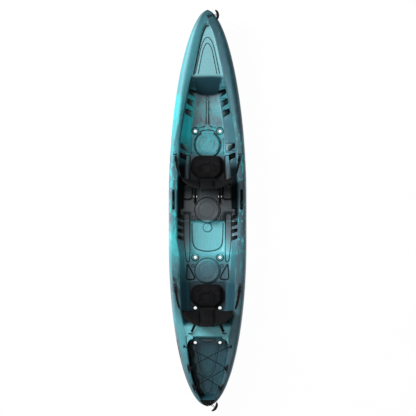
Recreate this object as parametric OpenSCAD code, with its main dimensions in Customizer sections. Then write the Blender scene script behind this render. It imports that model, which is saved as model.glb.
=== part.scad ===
// Tandem sit-on-top kayak: one hollow moulded hull with two padded seats, lashing and carry handles.
// +X is starboard, +Y is the bow and +Z is up. The origin is under the keel, amidships.

/* [Hull] */
// Length of the moulding from stem to stern
hull_length = 4102; // [3960:2:4240]
// Widest beam
hull_beam = 812; // [780:2:850]
// Wall of the moulding
wall = 4.5; // [4:0.5:6]
// Height of the gunwale top amidships
rim_h = 292; // [275:1:310]
// Extra height of the gunwale at the bow
bow_rise = 83; // [60:1:110]
// Extra height of the gunwale at the stern
stern_rise = 53; // [35:1:80]
// Height of the widest line of the sides amidships
waist_h = 205; // [185:1:225]
// Depth of the two tunnels beside the keel
tunnel_depth = 26; // [10:1:32]

/* [Deck] */
// Height of the front footwell floor
footwell_z = 95; // [85:1:105]
// Height of the mid tray floor
tray_z = 92; // [85:1:100]
// Height of the shelves beside the mid tray
shelf_z = 126; // [115:1:135]
// Height of the front seat pan
front_pan_z = 135; // [125:1:145]
// Height of the deck behind the front seat
mid_deck_z = 160; // [150:1:168]
// Height of the rear seat pan
rear_pan_z = 140; // [130:1:148]
// Height of the platform ahead of the rear seat
platform_z = 152; // [146:1:165]
// Height of the tank well floor
tank_z = 168; // [160:1:185]
// Depth of the foredeck panel below the gunwale
panel_drop = 22; // [12:1:32]
// Depth of the foot brace steps
brace_depth = 42; // [12:1:46]
// Radius of the three round moulded pads
disc_r = 122; // [105:1:128]
// Height of the round moulded pads
disc_h = 12; // [6:1:16]
// Radius of the scupper drains
scupper_r = 17; // [13:0.5:19]
// Distance of the scuppers from the centreline
scupper_x = 129; // [115:1:135]
// Length of the side grips moulded into the gunwales
grip_l = 210; // [160:2:240]
// Width of the finger slot in a side grip
grip_slot = 26; // [20:1:30]
// Depth of the finger slot in a side grip
grip_depth = 44; // [34:1:52]

/* [Seats] */
// Width of a seat pad
pad_w = 348; // [320:2:356]
// Length of a seat pad from front to back
pad_l = 262; // [240:2:272]
// Height of a seat pad at its crown
pad_h = 46; // [38:1:52]
// Height of a backrest along its own slope
back_h = 385; // [340:1:410]
// Width of a backrest's centre panel
back_w = 150; // [130:1:170]
// Length of a backrest wing along its curve
wing_l = 198; // [170:1:215]
// How far a wing turns forward at its tip
wing_sweep = 38; // [28:1:60]
// Thickness of the backrest foam
back_t = 34; // [24:1:38]
// Lean of the front backrest from upright
front_lean = 14; // [8:1:18]
// Lean of the rear backrest from upright
rear_lean = 26; // [20:1:30]
// Width of the webbing
strap_w = 25; // [20:1:30]
// Thickness of the webbing
strap_t = 2; // [1.5:0.1:2.5]

/* [Fittings] */
// Bar radius of a pad eye
eye_r = 3; // [2.5:0.1:3.5]
// Height of a pad eye's bar over the deck
eye_h = 14; // [12.5:0.5:16]
// Distance between the feet of a pad eye
eye_span = 34; // [30:1:40]
// Shank radius of the fixing screws
screw_r = 2; // [1.5:0.1:2.2]
// Radius of the deck cord in the handles
cord_r = 2.5; // [2:0.1:3]
// Radius of the elastic lashing cord
bungee_r = 3.5; // [2.5:0.1:4]
// Radius of a carry toggle
toggle_r = 10; // [8:0.5:11]
// Length of a carry toggle along its curve
toggle_l = 118; // [96:1:124]
// Radius of the drain plug's shank
plug_r = 14.9; // [12:0.1:16]
// Radius of the drain plug's head
plug_head_r = 20; // [18.5:0.5:23]

/* [Hidden] */

// Clearance between pieces that lie against each other
seat_gap = 0.3;
// Sides of round pieces
round_fn = 48;
black = "#1d1d1e";
webbing_black = "#2a2a2c";
hull_teal = "#3d97a6";
PORT = -1;
STARBOARD = 1;

// Stations along the hull, from stern to bow. They are drawn for one length and keep their share of it,
// while the seats keep their own length.
drawn_length = 4102;
function along(y) = y * hull_length / drawn_length;
seat_recess = 26;
front_seat_y = along(294);
rear_seat_y = along(-1049);
bow_y = hull_length / 2;
stern_y = -hull_length / 2;
tank_rear_y = stern_y + 67;
tank_front_y = along(-1337);
afterdeck_y = along(-1225);
rear_seat_back_y = rear_seat_y - seat_recess;
rear_seat_front_y = rear_seat_back_y + pad_l + 33;
tray_rear_y = along(-465);
tray_front_y = along(-141);
mid_deck_rear_y = along(-60);
front_seat_back_y = front_seat_y - seat_recess;
front_seat_front_y = front_seat_back_y + pad_l + 30;
footwell_rear_y = along(834);
footwell_front_y = along(1187);
foredeck_rear_y = along(1375);
arch_apex_y = bow_y - 135;
arch_half_w = 162;
tip_half_w = 8;
rim_round = 32;
bow_rim_slope = 62;
bow_rim_fall = 22;
rim_edge = 6;
flat_tip_l = 140;

// Outline of the hull seen from above: fullness and roundness of the two ends
bow_taper = along(1900);
stern_taper = along(1680);
bow_power = 1.8;
bow_root = 0.54;
rocker_bow_y = along(800);
rocker_stern_y = along(-900);
bow_rocker = 60;
bow_stem = 240;
stern_rocker = 50;
stern_stem = 220;
waist_bow_rise = 135;
waist_stern_rise = 110;

function clamp01(v) = min(1, max(0, v));
function mix(a, b, f) = a + (b - a) * f;
function half_beam(y) =
    let (
        bow_s = max(0, (bow_y - y) / bow_taper),
        stern_s = max(0, (y - stern_y) / stern_taper),
        share = bow_s < 1 ? pow(1 - pow(1 - bow_s, bow_power), bow_root)
            : stern_s < 1 ? sqrt(1 - pow(1 - stern_s, 2)) : 1
    )
    max(tip_half_w, hull_beam / 2 * share);
function keel_z(y) =
    let (
        fore = clamp01((y - rocker_bow_y) / (bow_y - rocker_bow_y)),
        aft = clamp01((rocker_stern_y - y) / (rocker_stern_y - stern_y))
    )
    bow_rocker * pow(fore, 2) + bow_stem * pow(fore, 10)
    + stern_rocker * pow(aft, 2) + stern_stem * pow(aft, 9);
function waist_z(y) = waist_h + (y > 0 ? waist_bow_rise : waist_stern_rise) * pow(abs(y) / bow_y, 3);
function rim_z(y) = rim_h + (y > 0 ? bow_rise : stern_rise) * pow(min(1, abs(y) / (bow_y - flat_tip_l)), 2);
// The gunwale's top slopes out to the side: narrow beside the seats, wide along the bow
function rim_slope(y) = lookup(y, [[along(650), rim_round], [along(900), bow_rim_slope]]);
// Towards the bow it also falls from its ridge to its inner edge
function rim_fall(y) =
    lookup(y, [
        [along(650), 0], [along(900), bow_rim_fall], [foredeck_rear_y, 0.6 * bow_rim_fall],
        [arch_apex_y - 150, 0.36 * bow_rim_fall], [arch_apex_y - 30, 0]
    ]);
function tunnel(y) = tunnel_depth * clamp01((along(1500) - abs(y)) / along(500));

// Deck between the gunwales. Each row is a station with the gunwale width, then the run in from the
// gunwale and the height of the wall's foot, of the shelf's inner edge and of the floor's edge.
bow_deck_z = rim_z(bow_y);
stern_deck_z = rim_z(stern_y);
afterdeck_z = rim_z(tank_front_y) - 12;
panel_rear_z = rim_z(foredeck_rear_y) - panel_drop;
panel_bow_z = bow_deck_z - panel_drop;
DECK = [
    [stern_y, 40, 10, stern_deck_z, 20, stern_deck_z, 30, stern_deck_z],
    [tank_rear_y, 57, 8, stern_deck_z, 16, stern_deck_z, 30, stern_deck_z],
    [tank_rear_y + 45, 54, 14, tank_z + 4, 24, tank_z, 50, tank_z],
    [along(-1725), 71, 22, tank_z + 6, 34, tank_z, 60, tank_z],
    [along(-1530), 93, 22, tank_z + 6, 34, tank_z, 60, tank_z],
    [tank_front_y - 25, 109, 22, tank_z + 6, 34, tank_z, 60, tank_z],
    [tank_front_y, 111, 20, afterdeck_z + 2, 30, afterdeck_z, 40, afterdeck_z],
    [afterdeck_y, 105, 20, afterdeck_z + 2, 30, afterdeck_z, 40, afterdeck_z],
    [rear_seat_back_y, 95, 60, rear_pan_z + 35, 90, rear_pan_z + 10, 100, rear_pan_z],
    [rear_seat_front_y, 113, 60, rear_pan_z + 35, 90, rear_pan_z + 10, 98, rear_pan_z],
    [rear_seat_front_y + 12, 113, 55, platform_z + 23, 90, platform_z + 3, 98, platform_z],
    [tray_rear_y - 25, 120, 45, platform_z + 3, 100, platform_z, 112, platform_z],
    [tray_rear_y, 115, 45, shelf_z + 4, 102, shelf_z, 114, tray_z],
    [along(-330), 89, 72, shelf_z + 2, 135, shelf_z, 147, tray_z],
    [tray_front_y, 89, 72, shelf_z + 2, 135, shelf_z, 147, tray_z],
    [tray_front_y + 15, 89, 72, shelf_z + 2, 130, shelf_z + 2, 158, mid_deck_z],
    [mid_deck_rear_y, 89, 72, shelf_z + 2, 130, shelf_z + 2, 158, mid_deck_z],
    [mid_deck_rear_y + 25, 89, 70, mid_deck_z + 5, 115, mid_deck_z + 3, 165, mid_deck_z],
    [along(85), 89, 70, mid_deck_z + 5, 115, mid_deck_z + 3, 165, mid_deck_z],
    [front_seat_back_y, 93, 70, mid_deck_z + 5, 112, mid_deck_z + 3, 121, mid_deck_z],
    [front_seat_back_y + 14, 94, 72, front_pan_z + 19, 110, front_pan_z + 15, 118, front_pan_z],
    [front_seat_front_y, 96, 68, front_pan_z + 17, 106, front_pan_z + 13, 114, front_pan_z],
    [front_seat_front_y + 35, 95, 68, footwell_z + 45, 108, footwell_z + 25, 118, footwell_z],
    [along(709), 93, 66, footwell_z + 40, 110, footwell_z + 10, 122, footwell_z],
    [footwell_rear_y, 101, 56, footwell_z + 40, 94, footwell_z + 10, 109, footwell_z],
    [footwell_front_y, 121, 54, footwell_z + 45, 79, footwell_z + 10, 95, footwell_z],
    [foredeck_rear_y, 130, 14, panel_rear_z + 2, 24, panel_rear_z, 40, panel_rear_z],
    [arch_apex_y - 30, 90, 10, panel_bow_z, 20, panel_bow_z, 30, panel_bow_z],
    [arch_apex_y, 90, 10, bow_deck_z, 20, bow_deck_z, 30, bow_deck_z],
    [bow_y, 40, 10, bow_deck_z, 20, bow_deck_z, 30, bow_deck_z]
];
function deck_column(y, k) = lookup(y, [for (row = DECK) [row[0], row[k]]]);

// Foot braces: rows of three steps in the side walls, as the first station and the pitch
BRACES = [for (b = [[907, 118], [450, 76], [-362, 118]]) [along(b[0]), along(b[1])]];
brace_steps = 3;
brace_edge = 8;
function brace_run(y) =
    max([
        for (b = BRACES)
            let (s = (y - b[0]) / b[1])
            s < 0 || s > brace_steps ? 0 : brace_depth * (s - floor(s - 0.0001))
    ]);
// The foredeck panel's sides run in almost straight and close in a round head
arch_taper = 0.72;
function arch_half(y) =
    let (t = clamp01((y - foredeck_rear_y) / (arch_apex_y - foredeck_rear_y)))
    arch_half_w * (1 - arch_taper * t) * sqrt(1 - pow(t, 8));
// Least half width of a line of the deck: a share of the beam, and far less where the panel closes
function least(y, share) =
    let (b = half_beam(y))
    y > foredeck_rear_y ? max(0.22 * share * b, min(share * b, 18 * share)) : share * b;
function rim_inner(y) =
    let (b = half_beam(y))
    max(least(y, 0.45), y > foredeck_rear_y ? min(arch_half(y), b - 40) : b - deck_column(y, 1));
function wall_foot(y) = max(least(y, 0.36), rim_inner(y) - deck_column(y, 2) + brace_run(y));
function shelf_edge(y) = max(least(y, 0.26), rim_inner(y) - deck_column(y, 4));
function floor_edge(y) = max(least(y, 0.16), rim_inner(y) - deck_column(y, 6));

// The hollow inside keeps a wall below the deck and beside its walls, also where the deck steps.
function near(y, t) = t > 0 ? [y - t, y, y + t] : [y];
function deck_low(y, k, t) = min([for (v = near(y, t)) deck_column(v, k)]) - t;
function rim_wide(y, t) = max([for (v = near(y, t)) rim_inner(v)]) + t;
function brace_room(y) =
    max([
        for (b = BRACES)
            y > b[0] - hollow_step && y < b[0] + brace_steps * b[1] + hollow_step ? brace_depth : 0
    ]);
function foot_wide(y, t) =
    t > 0 ? max([for (v = near(y, t)) wall_foot(v)]) + t + brace_room(y) : wall_foot(y);
// A raised floor draws the hollow in at its edges, and a sunk one pushes it out.
function floor_side(y) = deck_column(y, 7) > deck_column(y, 5) ? -1 : 1;
function shelf_wide(y, t) = shelf_edge(y) + floor_side(y) * t;
function floor_wide(y, t) = floor_edge(y) + floor_side(y) * t;
function rim_drop(y) =
    min(10, 0.1 * half_beam(y), max(0, 0.4 * (rim_z(y) - rim_fall(y) - deck_column(y, 3))));

// Half of a cross-section from the keel round the bilge and the gunwale to the middle of the deck
function half_section(y, t) =
    let (
        b = half_beam(y),
        k = keel_z(y),
        w = waist_z(y),
        r = rim_z(y),
        round_in = min(rim_slope(y), 0.25 * b),
        edge = min(rim_edge, 0.08 * b),
        shoulder = min(10, 0.1 * b)
    )
    [
        [0, k + t],
        [0.16 * b, k + t],
        [0.34 * b, k + tunnel(y) + t],
        [0.55 * b, k + t],
        [0.70 * b - 0.3 * t, k + t],
        [0.89 * b - 0.7 * t, mix(k, w, 0.28) + 0.7 * t],
        [0.97 * b - t, mix(k, w, 0.62)],
        [b - t, w],
        [b - shoulder - t, mix(w, r, 0.65)],
        [b - round_in - t / 2, r - t],
        [rim_wide(y, t) + edge, r - rim_fall(y) - t],
        [rim_wide(y, t), r - rim_fall(y) - rim_drop(y) - t],
        [foot_wide(y, t), deck_low(y, 3, t)],
        [shelf_wide(y, t), deck_low(y, 5, t)],
        [floor_wide(y, t), deck_low(y, 7, t)],
        [0, deck_low(y, 7, t)]
    ];
function ring(y, t) =
    let (h = half_section(y, t), n = len(h))
    concat(
        [for (p = h) [p[0], y, p[1]]],
        [for (i = [n - 2:-1:1]) [-h[i][0], y, h[i][1]]]
    );
function sorted(v) =
    len(v) < 2 ? v
    : let (m = v[floor(len(v) / 2)])
    concat(sorted([for (a = v) if (a < m) a]), [m], sorted([for (a = v) if (a > m) a]));
function thinned(v, i = 1, out = undef) =
    let (o = is_undef(out) ? [v[0]] : out)
    i >= len(v) ? o
    : thinned(v, i + 1, v[i] - o[len(o) - 1] < 4 ? o : concat(o, [v[i]]));
brace_stations = [
    for (b = BRACES)
        for (i = [0:brace_steps])
            for (e = [0, brace_edge])
                b[0] + i * b[1] + e
];
arch_stations = [for (d = [150, 100, 60, 40, 26, 14, 6]) arch_apex_y - d];
tip_stations = [for (d = [0, 5, 16, 36, 70]) for (s = [-1, 1]) s * (bow_y - d)];
function fill(list, step) =
    [
        for (i = [0:len(list) - 2])
            let (n = ceil((list[i + 1] - list[i]) / step))
            for (k = [0:n - 1])
                mix(list[i], list[i + 1], k / n)
    ];
key_stations = thinned(
    sorted(concat([for (row = DECK) row[0]], brace_stations, arch_stations, tip_stations))
);
hollow_step = 130;
hollow_stern_y = stern_y + 135;
hollow_bow_y = bow_y - 70;
hollow_stations = thinned(sorted(concat(
    [hollow_stern_y, hollow_bow_y],
    [for (row = DECK) if (row[0] > hollow_stern_y + 30 && row[0] < hollow_bow_y - 30) row[0]]
)));
// The one-piece moulding is drawn in sections, each with its own part of the deck, so that collision
// can follow the open spaces. The sections meet at flat faces with the same outline.
HULL_CUTS = [
    stern_y, afterdeck_y, tray_rear_y - 15, tray_front_y - 9, along(160),
    front_seat_front_y - 30, bow_y
];
cut_overrun = 20;
function between(list, a, b) = concat([a], [for (v = list) if (v > a + 3 && v < b - 3) v], [b]);
function filled(list, step) = concat(fill(list, step), [list[len(list) - 1]]);

// Flat end of a loft: pairs the bottom and side of a half section with its deck, from the keel up
CAP_PAIRS = [
    [0, 15], [1, 15], [1, 14], [2, 14], [3, 14], [3, 13], [4, 13], [4, 12],
    [5, 12], [6, 12], [6, 11], [7, 11], [8, 11], [8, 10], [9, 10]
];
function cap_tris(n) =
    let (
        half = [
            for (i = [0:len(CAP_PAIRS) - 2])
                let (p = CAP_PAIRS[i], q = CAP_PAIRS[i + 1])
                p[0] == q[0] ? [p[0], p[1], q[1]] : [p[0], p[1], q[0]]
        ],
        other = [for (t = half) [for (k = [2, 1, 0]) (n - t[k]) % n]]
    )
    [for (t = concat(half, other)) [t[2], t[1], t[0]]];
module loft(stations, t) {
    rings = [for (y = stations) ring(y, t)];
    n = len(rings[0]);
    m = len(stations);
    half = n / 2;
    points = [for (r = rings) for (p = r) p];
    sides = [
        for (i = [0:m - 2])
            for (j = [0:n - 1])
                let (
                    a = i * n + j,
                    b = i * n + (j + 1) % n,
                    c = b + n,
                    d = a + n
                )
                for (tri = j < half ? [[a, b, c], [a, c, d]] : [[a, b, d], [b, c, d]])
                    tri
    ];
    last = (m - 1) * n;
    stern_cap = [for (t = cap_tris(n)) [t[2], t[1], t[0]]];
    bow_cap = [for (t = cap_tris(n)) [t[0] + last, t[1] + last, t[2] + last]];
    polyhedron(points, concat(sides, stern_cap, bow_cap));
}

// Scuppers, round moulded pads, side grips and the drain
SCUPPER_Y = [for (y = [807, 122, -514, -1044, -1406]) along(y)];
DISCS = [
    [along(665), footwell_z],
    [along(-21), mid_deck_z],
    [rear_seat_front_y + disc_r + 3, platform_z]
];
disc_step_r = 0.74;
tray_boss_y = along(-203);
tray_boss_r = 41;
grip_y = along(90);
grip_x = hull_beam / 2 - 52;
plug_y = along(-1700);
plug_z = 190;
plug_boss_r = 36;
plug_boss_l = 26;
plug_seat_r = 30;
plug_seat_depth = 3;
plug_flange_r = 29;
plug_flange_t = 4;
plug_tube_r = 19;
plug_tube_l = 18;
gasket_t = 1.5;
plug_head_t = 5;
plug_shank_l = 15;
plug_clear = 0.1;
plug_slot_w = 3;
plug_slot_depth = 2.5;
plug_share = (plug_z - keel_z(plug_y)) / (waist_z(plug_y) - keel_z(plug_y));
plug_x = half_beam(plug_y) * mix(0.97, 1, (plug_share - 0.62) / 0.38);
plug_yaw = atan((half_beam(plug_y + 5) - half_beam(plug_y - 5)) / 10);

// Puts a piece on the drain's own axis, which leaves the hull along local +Z from the sunk seat
module at_drain() {
    translate([plug_x, plug_y, plug_z])
        rotate([0, 90, -plug_yaw])
            translate([0, 0, -plug_seat_depth])
                children();
}
module grip_prism(grow) {
    r = grip_slot / 2 + grow;
    translate([0, 0, rim_z(grip_y) - grip_depth - grow]) {
        translate([-r, -grip_l / 2 + grip_slot / 2, 0])
            cube([2 * r, grip_l - grip_slot, grip_depth * 2]);
        for (s = [-1, 1])
            translate([0, s * (grip_l - grip_slot) / 2, 0])
                cylinder(r = r, h = grip_depth * 2, $fn = round_fn);
    }
}
module both_sides(x, y) {
    for (s = [PORT, STARBOARD])
        translate([s * x, y, 0])
            children();
}
module hull_hollow(a, b) {
    stern_end = max(a, hollow_stern_y);
    bow_end = min(b, hollow_bow_y);
    inside = filled(between(hollow_stations, stern_end, bow_end), hollow_step);
    difference() {
        loft(
            concat(
                a > hollow_stern_y ? [a - cut_overrun] : [],
                inside,
                b < hollow_bow_y ? [b + cut_overrun] : []
            ),
            wall
        );
        for (y = SCUPPER_Y)
            if (y > a && y < b)
                both_sides(scupper_x, y)
                    cylinder(r = scupper_r + wall, h = rim_h * 1.2, $fn = round_fn);
        both_sides(grip_x, grip_y)
            grip_prism(wall);
        if (plug_y > a && plug_y < b)
            at_drain()
                translate([0, 0, -plug_boss_l])
                    cylinder(r = plug_boss_r, h = 2 * plug_boss_l, $fn = round_fn);
    }
}
// Round pads that stand on the floor between two cuts
module hull_pads(a, b) {
    intersection() {
        union() {
            for (d = DISCS)
                translate([0, d[0], d[1] - wall / 2]) {
                    cylinder(r = disc_r, h = wall / 2 + disc_h * 0.6, $fn = round_fn);
                    cylinder(r = disc_r * disc_step_r, h = wall / 2 + disc_h, $fn = round_fn);
                }
            translate([0, tray_boss_y, tray_z - wall / 2])
                cylinder(r = tray_boss_r, h = wall / 2 + disc_h * 0.5, $fn = round_fn);
        }
        translate([-hull_beam / 2, a, 0])
            cube([hull_beam, b - a, rim_h]);
    }
}
module hull_section(k) {
    a = HULL_CUTS[k];
    b = HULL_CUTS[k + 1];
    color(hull_teal)
        difference() {
            union() {
                loft(filled(between(key_stations, a, b), 80), 0);
                hull_pads(a, b);
            }
            hull_hollow(a, b);
            for (y = SCUPPER_Y)
                if (y > a && y < b)
                    both_sides(scupper_x, y)
                        translate([0, 0, -1])
                            cylinder(r = scupper_r, h = rim_h * 1.2, $fn = round_fn);
            both_sides(grip_x, grip_y)
                grip_prism(0);
            if (plug_y > a && plug_y < b)
                at_drain() {
                    cylinder(r = plug_seat_r, h = plug_boss_l, $fn = round_fn);
                    translate([0, 0, -2 * plug_boss_l])
                        cylinder(r = plug_tube_r + plug_clear, h = 3 * plug_boss_l, $fn = round_fn);
                }
        }
}
module drain_plug_housing() {
    color(black)
        at_drain()
            difference() {
                union() {
                    cylinder(r = plug_flange_r, h = plug_flange_t, $fn = round_fn);
                    translate([0, 0, -plug_tube_l])
                        cylinder(r = plug_tube_r, h = plug_tube_l + 1, $fn = round_fn);
                }
                translate([0, 0, -plug_tube_l - 1])
                    cylinder(r = plug_r + plug_clear, h = plug_tube_l + plug_flange_t + 2, $fn = round_fn);
            }
}
module drain_plug_gasket() {
    color(webbing_black)
        at_drain()
            translate([0, 0, plug_flange_t])
                difference() {
                    cylinder(r = plug_head_r, h = gasket_t, $fn = round_fn);
                    translate([0, 0, -1])
                        cylinder(r = plug_r + 2 * plug_clear, h = gasket_t + 2, $fn = round_fn);
                }
}
module drain_plug() {
    color(black)
        at_drain()
            translate([0, 0, plug_flange_t + gasket_t])
                difference() {
                    union() {
                        cylinder(r = plug_head_r, h = plug_head_t, $fn = round_fn);
                        translate([0, 0, -plug_shank_l])
                            cylinder(r = plug_r, h = plug_shank_l + 1, $fn = round_fn);
                    }
                    translate([-plug_head_r, -plug_slot_w / 2, plug_head_t - plug_slot_depth])
                        cube([2 * plug_head_r, plug_slot_w, plug_head_t]);
                }
}

// A closed tube swept along points, with one radius or one for each point
function unit(v) = v / norm(v);
function route_way(p, i) = unit(p[min(i + 1, len(p) - 1)] - p[max(i - 1, 0)]);
function side_of(d) = unit(cross(d, abs(d[2]) > 0.9 ? [0, 1, 0] : [0, 0, 1]));
module tube(p, r, sides = 8) {
    points = [
        for (i = [0:len(p) - 1])
            let (d = route_way(p, i), u = side_of(d), v = cross(d, u))
            for (k = [0:sides - 1])
                p[i] + (is_list(r) ? r[i] : r) * (cos(360 * k / sides) * u + sin(360 * k / sides) * v)
    ];
    skin(points, sides, len(p));
}
// Joins rings of n points into one closed solid. The two broad faces of a ribbon turn alike.
module skin(points, n, m) {
    sides = [
        for (i = [0:m - 2])
            for (j = [0:n - 1])
                let (a = i * n + j, b = i * n + (j + 1) % n)
                for (
                    tri = n == 4 && j == 2
                        ? [[a, a + n, b + n], [a, b + n, b]]
                        : [[a, a + n, b], [b, a + n, b + n]]
                )
                    tri
    ];
    first = [[for (j = [0:n - 1]) j]];
    last = [[for (j = [n - 1:-1:0]) (m - 1) * n + j]];
    polyhedron(points, concat(sides, first, last));
}

// Pad eye: two screwed feet and a round bar along local X, arched over the deck
eye_foot_r = 8;
eye_foot_t = 4;
eye_knuckle = 0.4;
eye_post_x = eye_span / 2 - eye_foot_r + eye_r;
screw_head_r = 4;
screw_head_h = 2;
screw_l = 14;
module pad_eye() {
    difference() {
        union() {
            for (s = [-1, 1])
                translate([s * eye_span / 2, 0, 0])
                    cylinder(r = eye_foot_r, h = eye_foot_t, $fn = round_fn);
            for (s = [-1, 1])
                translate([s * eye_post_x, 0, 0])
                    cylinder(r = eye_r + eye_knuckle, h = eye_h + eye_r / 2, $fn = round_fn);
            translate([-eye_post_x - eye_r - 2 * eye_knuckle, 0, eye_h])
                rotate([0, 90, 0])
                    cylinder(r = eye_r, h = 2 * (eye_post_x + eye_r + 2 * eye_knuckle), $fn = round_fn);
        }
        for (s = [-1, 1])
            translate([s * (eye_span / 2 + eye_screw_out), 0, -1])
                cylinder(r = screw_r + plug_clear, h = eye_foot_t + 2, $fn = round_fn);
    }
}
eye_screw_out = 3;
module pan_screw(length) {
    translate([0, 0, -length])
        cylinder(r = screw_r, h = length + 0.5, $fn = round_fn);
    cylinder(r = screw_head_r, h = screw_head_h, $fn = round_fn);
}
module pad_eye_screw_pair() {
    for (s = [-1, 1])
        translate([s * (eye_span / 2 + eye_screw_out), 0, eye_foot_t])
            pan_screw(screw_l);
}

// Seats: each row is the hinge's station, the pan's height and the lean of the backrest
pad_rear_h = 30;
hem_r = 9;
hinge_up = pad_rear_h + seat_gap + hem_r + seat_gap;
FRONT_SEAT = [front_seat_y, front_pan_z, front_lean];
REAR_SEAT = [rear_seat_y, rear_pan_z, rear_lean];
function hinge_point(seat) = [0, seat[0], seat[1] + hinge_up];
// A point of a backrest, from across, forward and up along its slope
function on_back(seat, p) =
    let (h = hinge_point(seat), c = cos(seat[2]), s = sin(seat[2]))
    [p[0], h[1] + p[1] * c - p[2] * s, h[2] + p[1] * s + p[2] * c];

// A closed pillow from two grids of points, n by m cells, with its rim joined
module pillow(front, back, n, m) {
    row = m + 1;
    size = (n + 1) * row;
    function at(i, j) = i * row + j;
    grid = [
        for (i = [0:n - 1])
            for (j = [0:m - 1])
                [at(i, j), at(i + 1, j), at(i + 1, j + 1), at(i, j + 1)]
    ];
    front_tris = [for (q = grid) for (t = [[q[0], q[1], q[2]], [q[0], q[2], q[3]]]) t];
    back_tris = [for (t = front_tris) [t[2] + size, t[1] + size, t[0] + size]];
    border = concat(
        [for (i = [0:n - 1]) at(i, 0)],
        [for (j = [0:m - 1]) at(n, j)],
        [for (i = [n:-1:1]) at(i, m)],
        [for (j = [m:-1:1]) at(0, j)]
    );
    rim_tris = [
        for (k = [0:len(border) - 1])
            let (a = border[k], b = border[(k + 1) % len(border)])
            for (t = [[b, a, a + size], [b, a + size, b + size]])
                t
    ];
    polyhedron(concat(front, back), concat(front_tris, back_tris, rim_tris));
}

pad_flange = 0.09;
pad_flange_h = 11;
pad_nose = 0.36;
pad_nose_w = 0.5;
pad_tail = 0.60;
pad_tail_w = 0.56;
pad_cells = 14;
function pad_half_w(v) =
    pad_w / 2 * (
        v < pad_nose ? pad_nose_w + (1 - pad_nose_w) * sqrt(1 - pow(1 - v / pad_nose, 2))
        : v < pad_tail ? 1
        : mix(1, pad_tail_w, (1 - cos(180 * (v - pad_tail) / (1 - pad_tail))) / 2)
    );
function ease(f) = let (c = clamp01(f)) c * c * (3 - 2 * c);
// Height of a pad's top: a thin flange, a crowned cushion and a raised tail under the hinge
function pad_top(u, v) =
    let (
        side = min(u, 1 - u) * 2,
        rise = ease((side - pad_flange) / 0.22) * ease((v - pad_flange) / 0.16),
        crown = 0.8 + 0.2 * sin(180 * u) * sin(180 * clamp01(v * 1.1)),
        body = mix(pad_flange_h, pad_h * crown, rise)
    )
    mix(body, pad_rear_h, ease((v - 0.8) / 0.14));
module seat_pad(seat) {
    y_rear = seat[0] - hem_r;
    cells = [for (i = [0:pad_cells]) i / pad_cells];
    function plan(u, v) = [(2 * u - 1) * pad_half_w(v), y_rear + pad_l * (1 - v)];
    top = [for (u = cells) for (v = cells) let (p = plan(u, v)) [p[0], p[1], seat[1] + pad_top(u, v)]];
    bottom = [for (u = cells) for (v = cells) let (p = plan(u, v)) [p[0], p[1], seat[1] + seat_gap]];
    color(black)
        pillow(top, bottom, pad_cells, pad_cells);
}

// Backrest panels: thin sewn edges swelling to the foam's thickness
panel_edge = 3;
panel_cells = 10;
panel_base = hem_r + seat_gap;
sewn_gap = 0.4;
function swell(u, v) =
    panel_edge + (back_t / 2 - panel_edge) * pow(sin(180 * u), 0.6) * pow(sin(180 * v), 0.6);
module backrest_centre(seat) {
    cells = [for (i = [0:panel_cells]) i / panel_cells];
    function local(u, v, side) =
        [(u - 0.5) * back_w, side * swell(u, v), mix(panel_base, back_h - 10 * pow(2 * u - 1, 2), v)];
    front = [for (u = cells) for (v = cells) on_back(seat, local(u, v, 1))];
    back = [for (u = cells) for (v = cells) on_back(seat, local(u, v, -1))];
    color(webbing_black)
        pillow(back, front, panel_cells, panel_cells);
}
wing_low_root = 30;
wing_low_tip = 150;
wing_high_root = back_h - 12;
wing_high_tip = 250;
wing_bend = wing_l * 180 / PI / wing_sweep;
function wing_low(s) = mix(wing_low_root, wing_low_tip, pow(s, 1.2));
function wing_high(s) = mix(wing_high_root, wing_high_tip, pow(s, 1.4));
// A point of a wing: s along its curve, v up it, off from its mid surface towards its back
function wing_point(seat, side, s, v, off) =
    let (turn = wing_sweep * s)
    on_back(seat, [
        side * (back_w / 2 + sewn_gap + wing_bend * sin(turn) + off * sin(turn)),
        wing_bend * (1 - cos(turn)) - off * cos(turn),
        mix(wing_low(s), wing_high(s), v)
    ]);
module backrest_wing(seat, side) {
    cells = [for (i = [0:panel_cells]) i / panel_cells];
    front = [for (s = cells) for (v = cells) wing_point(seat, side, s, v, -swell(s, v))];
    back = [for (s = cells) for (v = cells) wing_point(seat, side, s, v, swell(s, v))];
    color(black)
        if (side > 0)
            pillow(back, front, panel_cells, panel_cells);
        else
            pillow(front, back, panel_cells, panel_cells);
}
module backrest_hem(seat) {
    color(webbing_black)
        translate(hinge_point(seat) - [back_w / 2, 0, 0])
            rotate([0, 90, 0])
                cylinder(r = hem_r, h = back_w, $fn = round_fn);
}

// Where the straps are anchored: pad eyes on the gunwales ahead and on the deck behind each seat
eye_seat = 0.3;
function side_eye(y) = [half_beam(y) - rim_round - eye_span / 2 - eye_foot_r, y, rim_z(y) + eye_seat];
FRONT_SIDE_EYE = side_eye(along(560));
FRONT_BACK_EYE = [scupper_x - 1, along(49), mid_deck_z + eye_seat];
REAR_SIDE_EYE = side_eye(along(-790));
REAR_BACK_EYE = [175, along(-1300), afterdeck_z + eye_seat];
function mirrored(p, side) = [side * p[0], p[1], p[2]];

// Snap hook: a ring round the pad eye's bar, a shank and a slotted end that holds the webbing
hook_ring_r = 8.5;
hook_bar_r = 2.4;
hook_play = 0.8;
hook_shank_l = 12;
hook_end_l = 10;
hook_end_t = 6;
hook_reach = hook_ring_r + hook_shank_l + hook_end_l;
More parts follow.
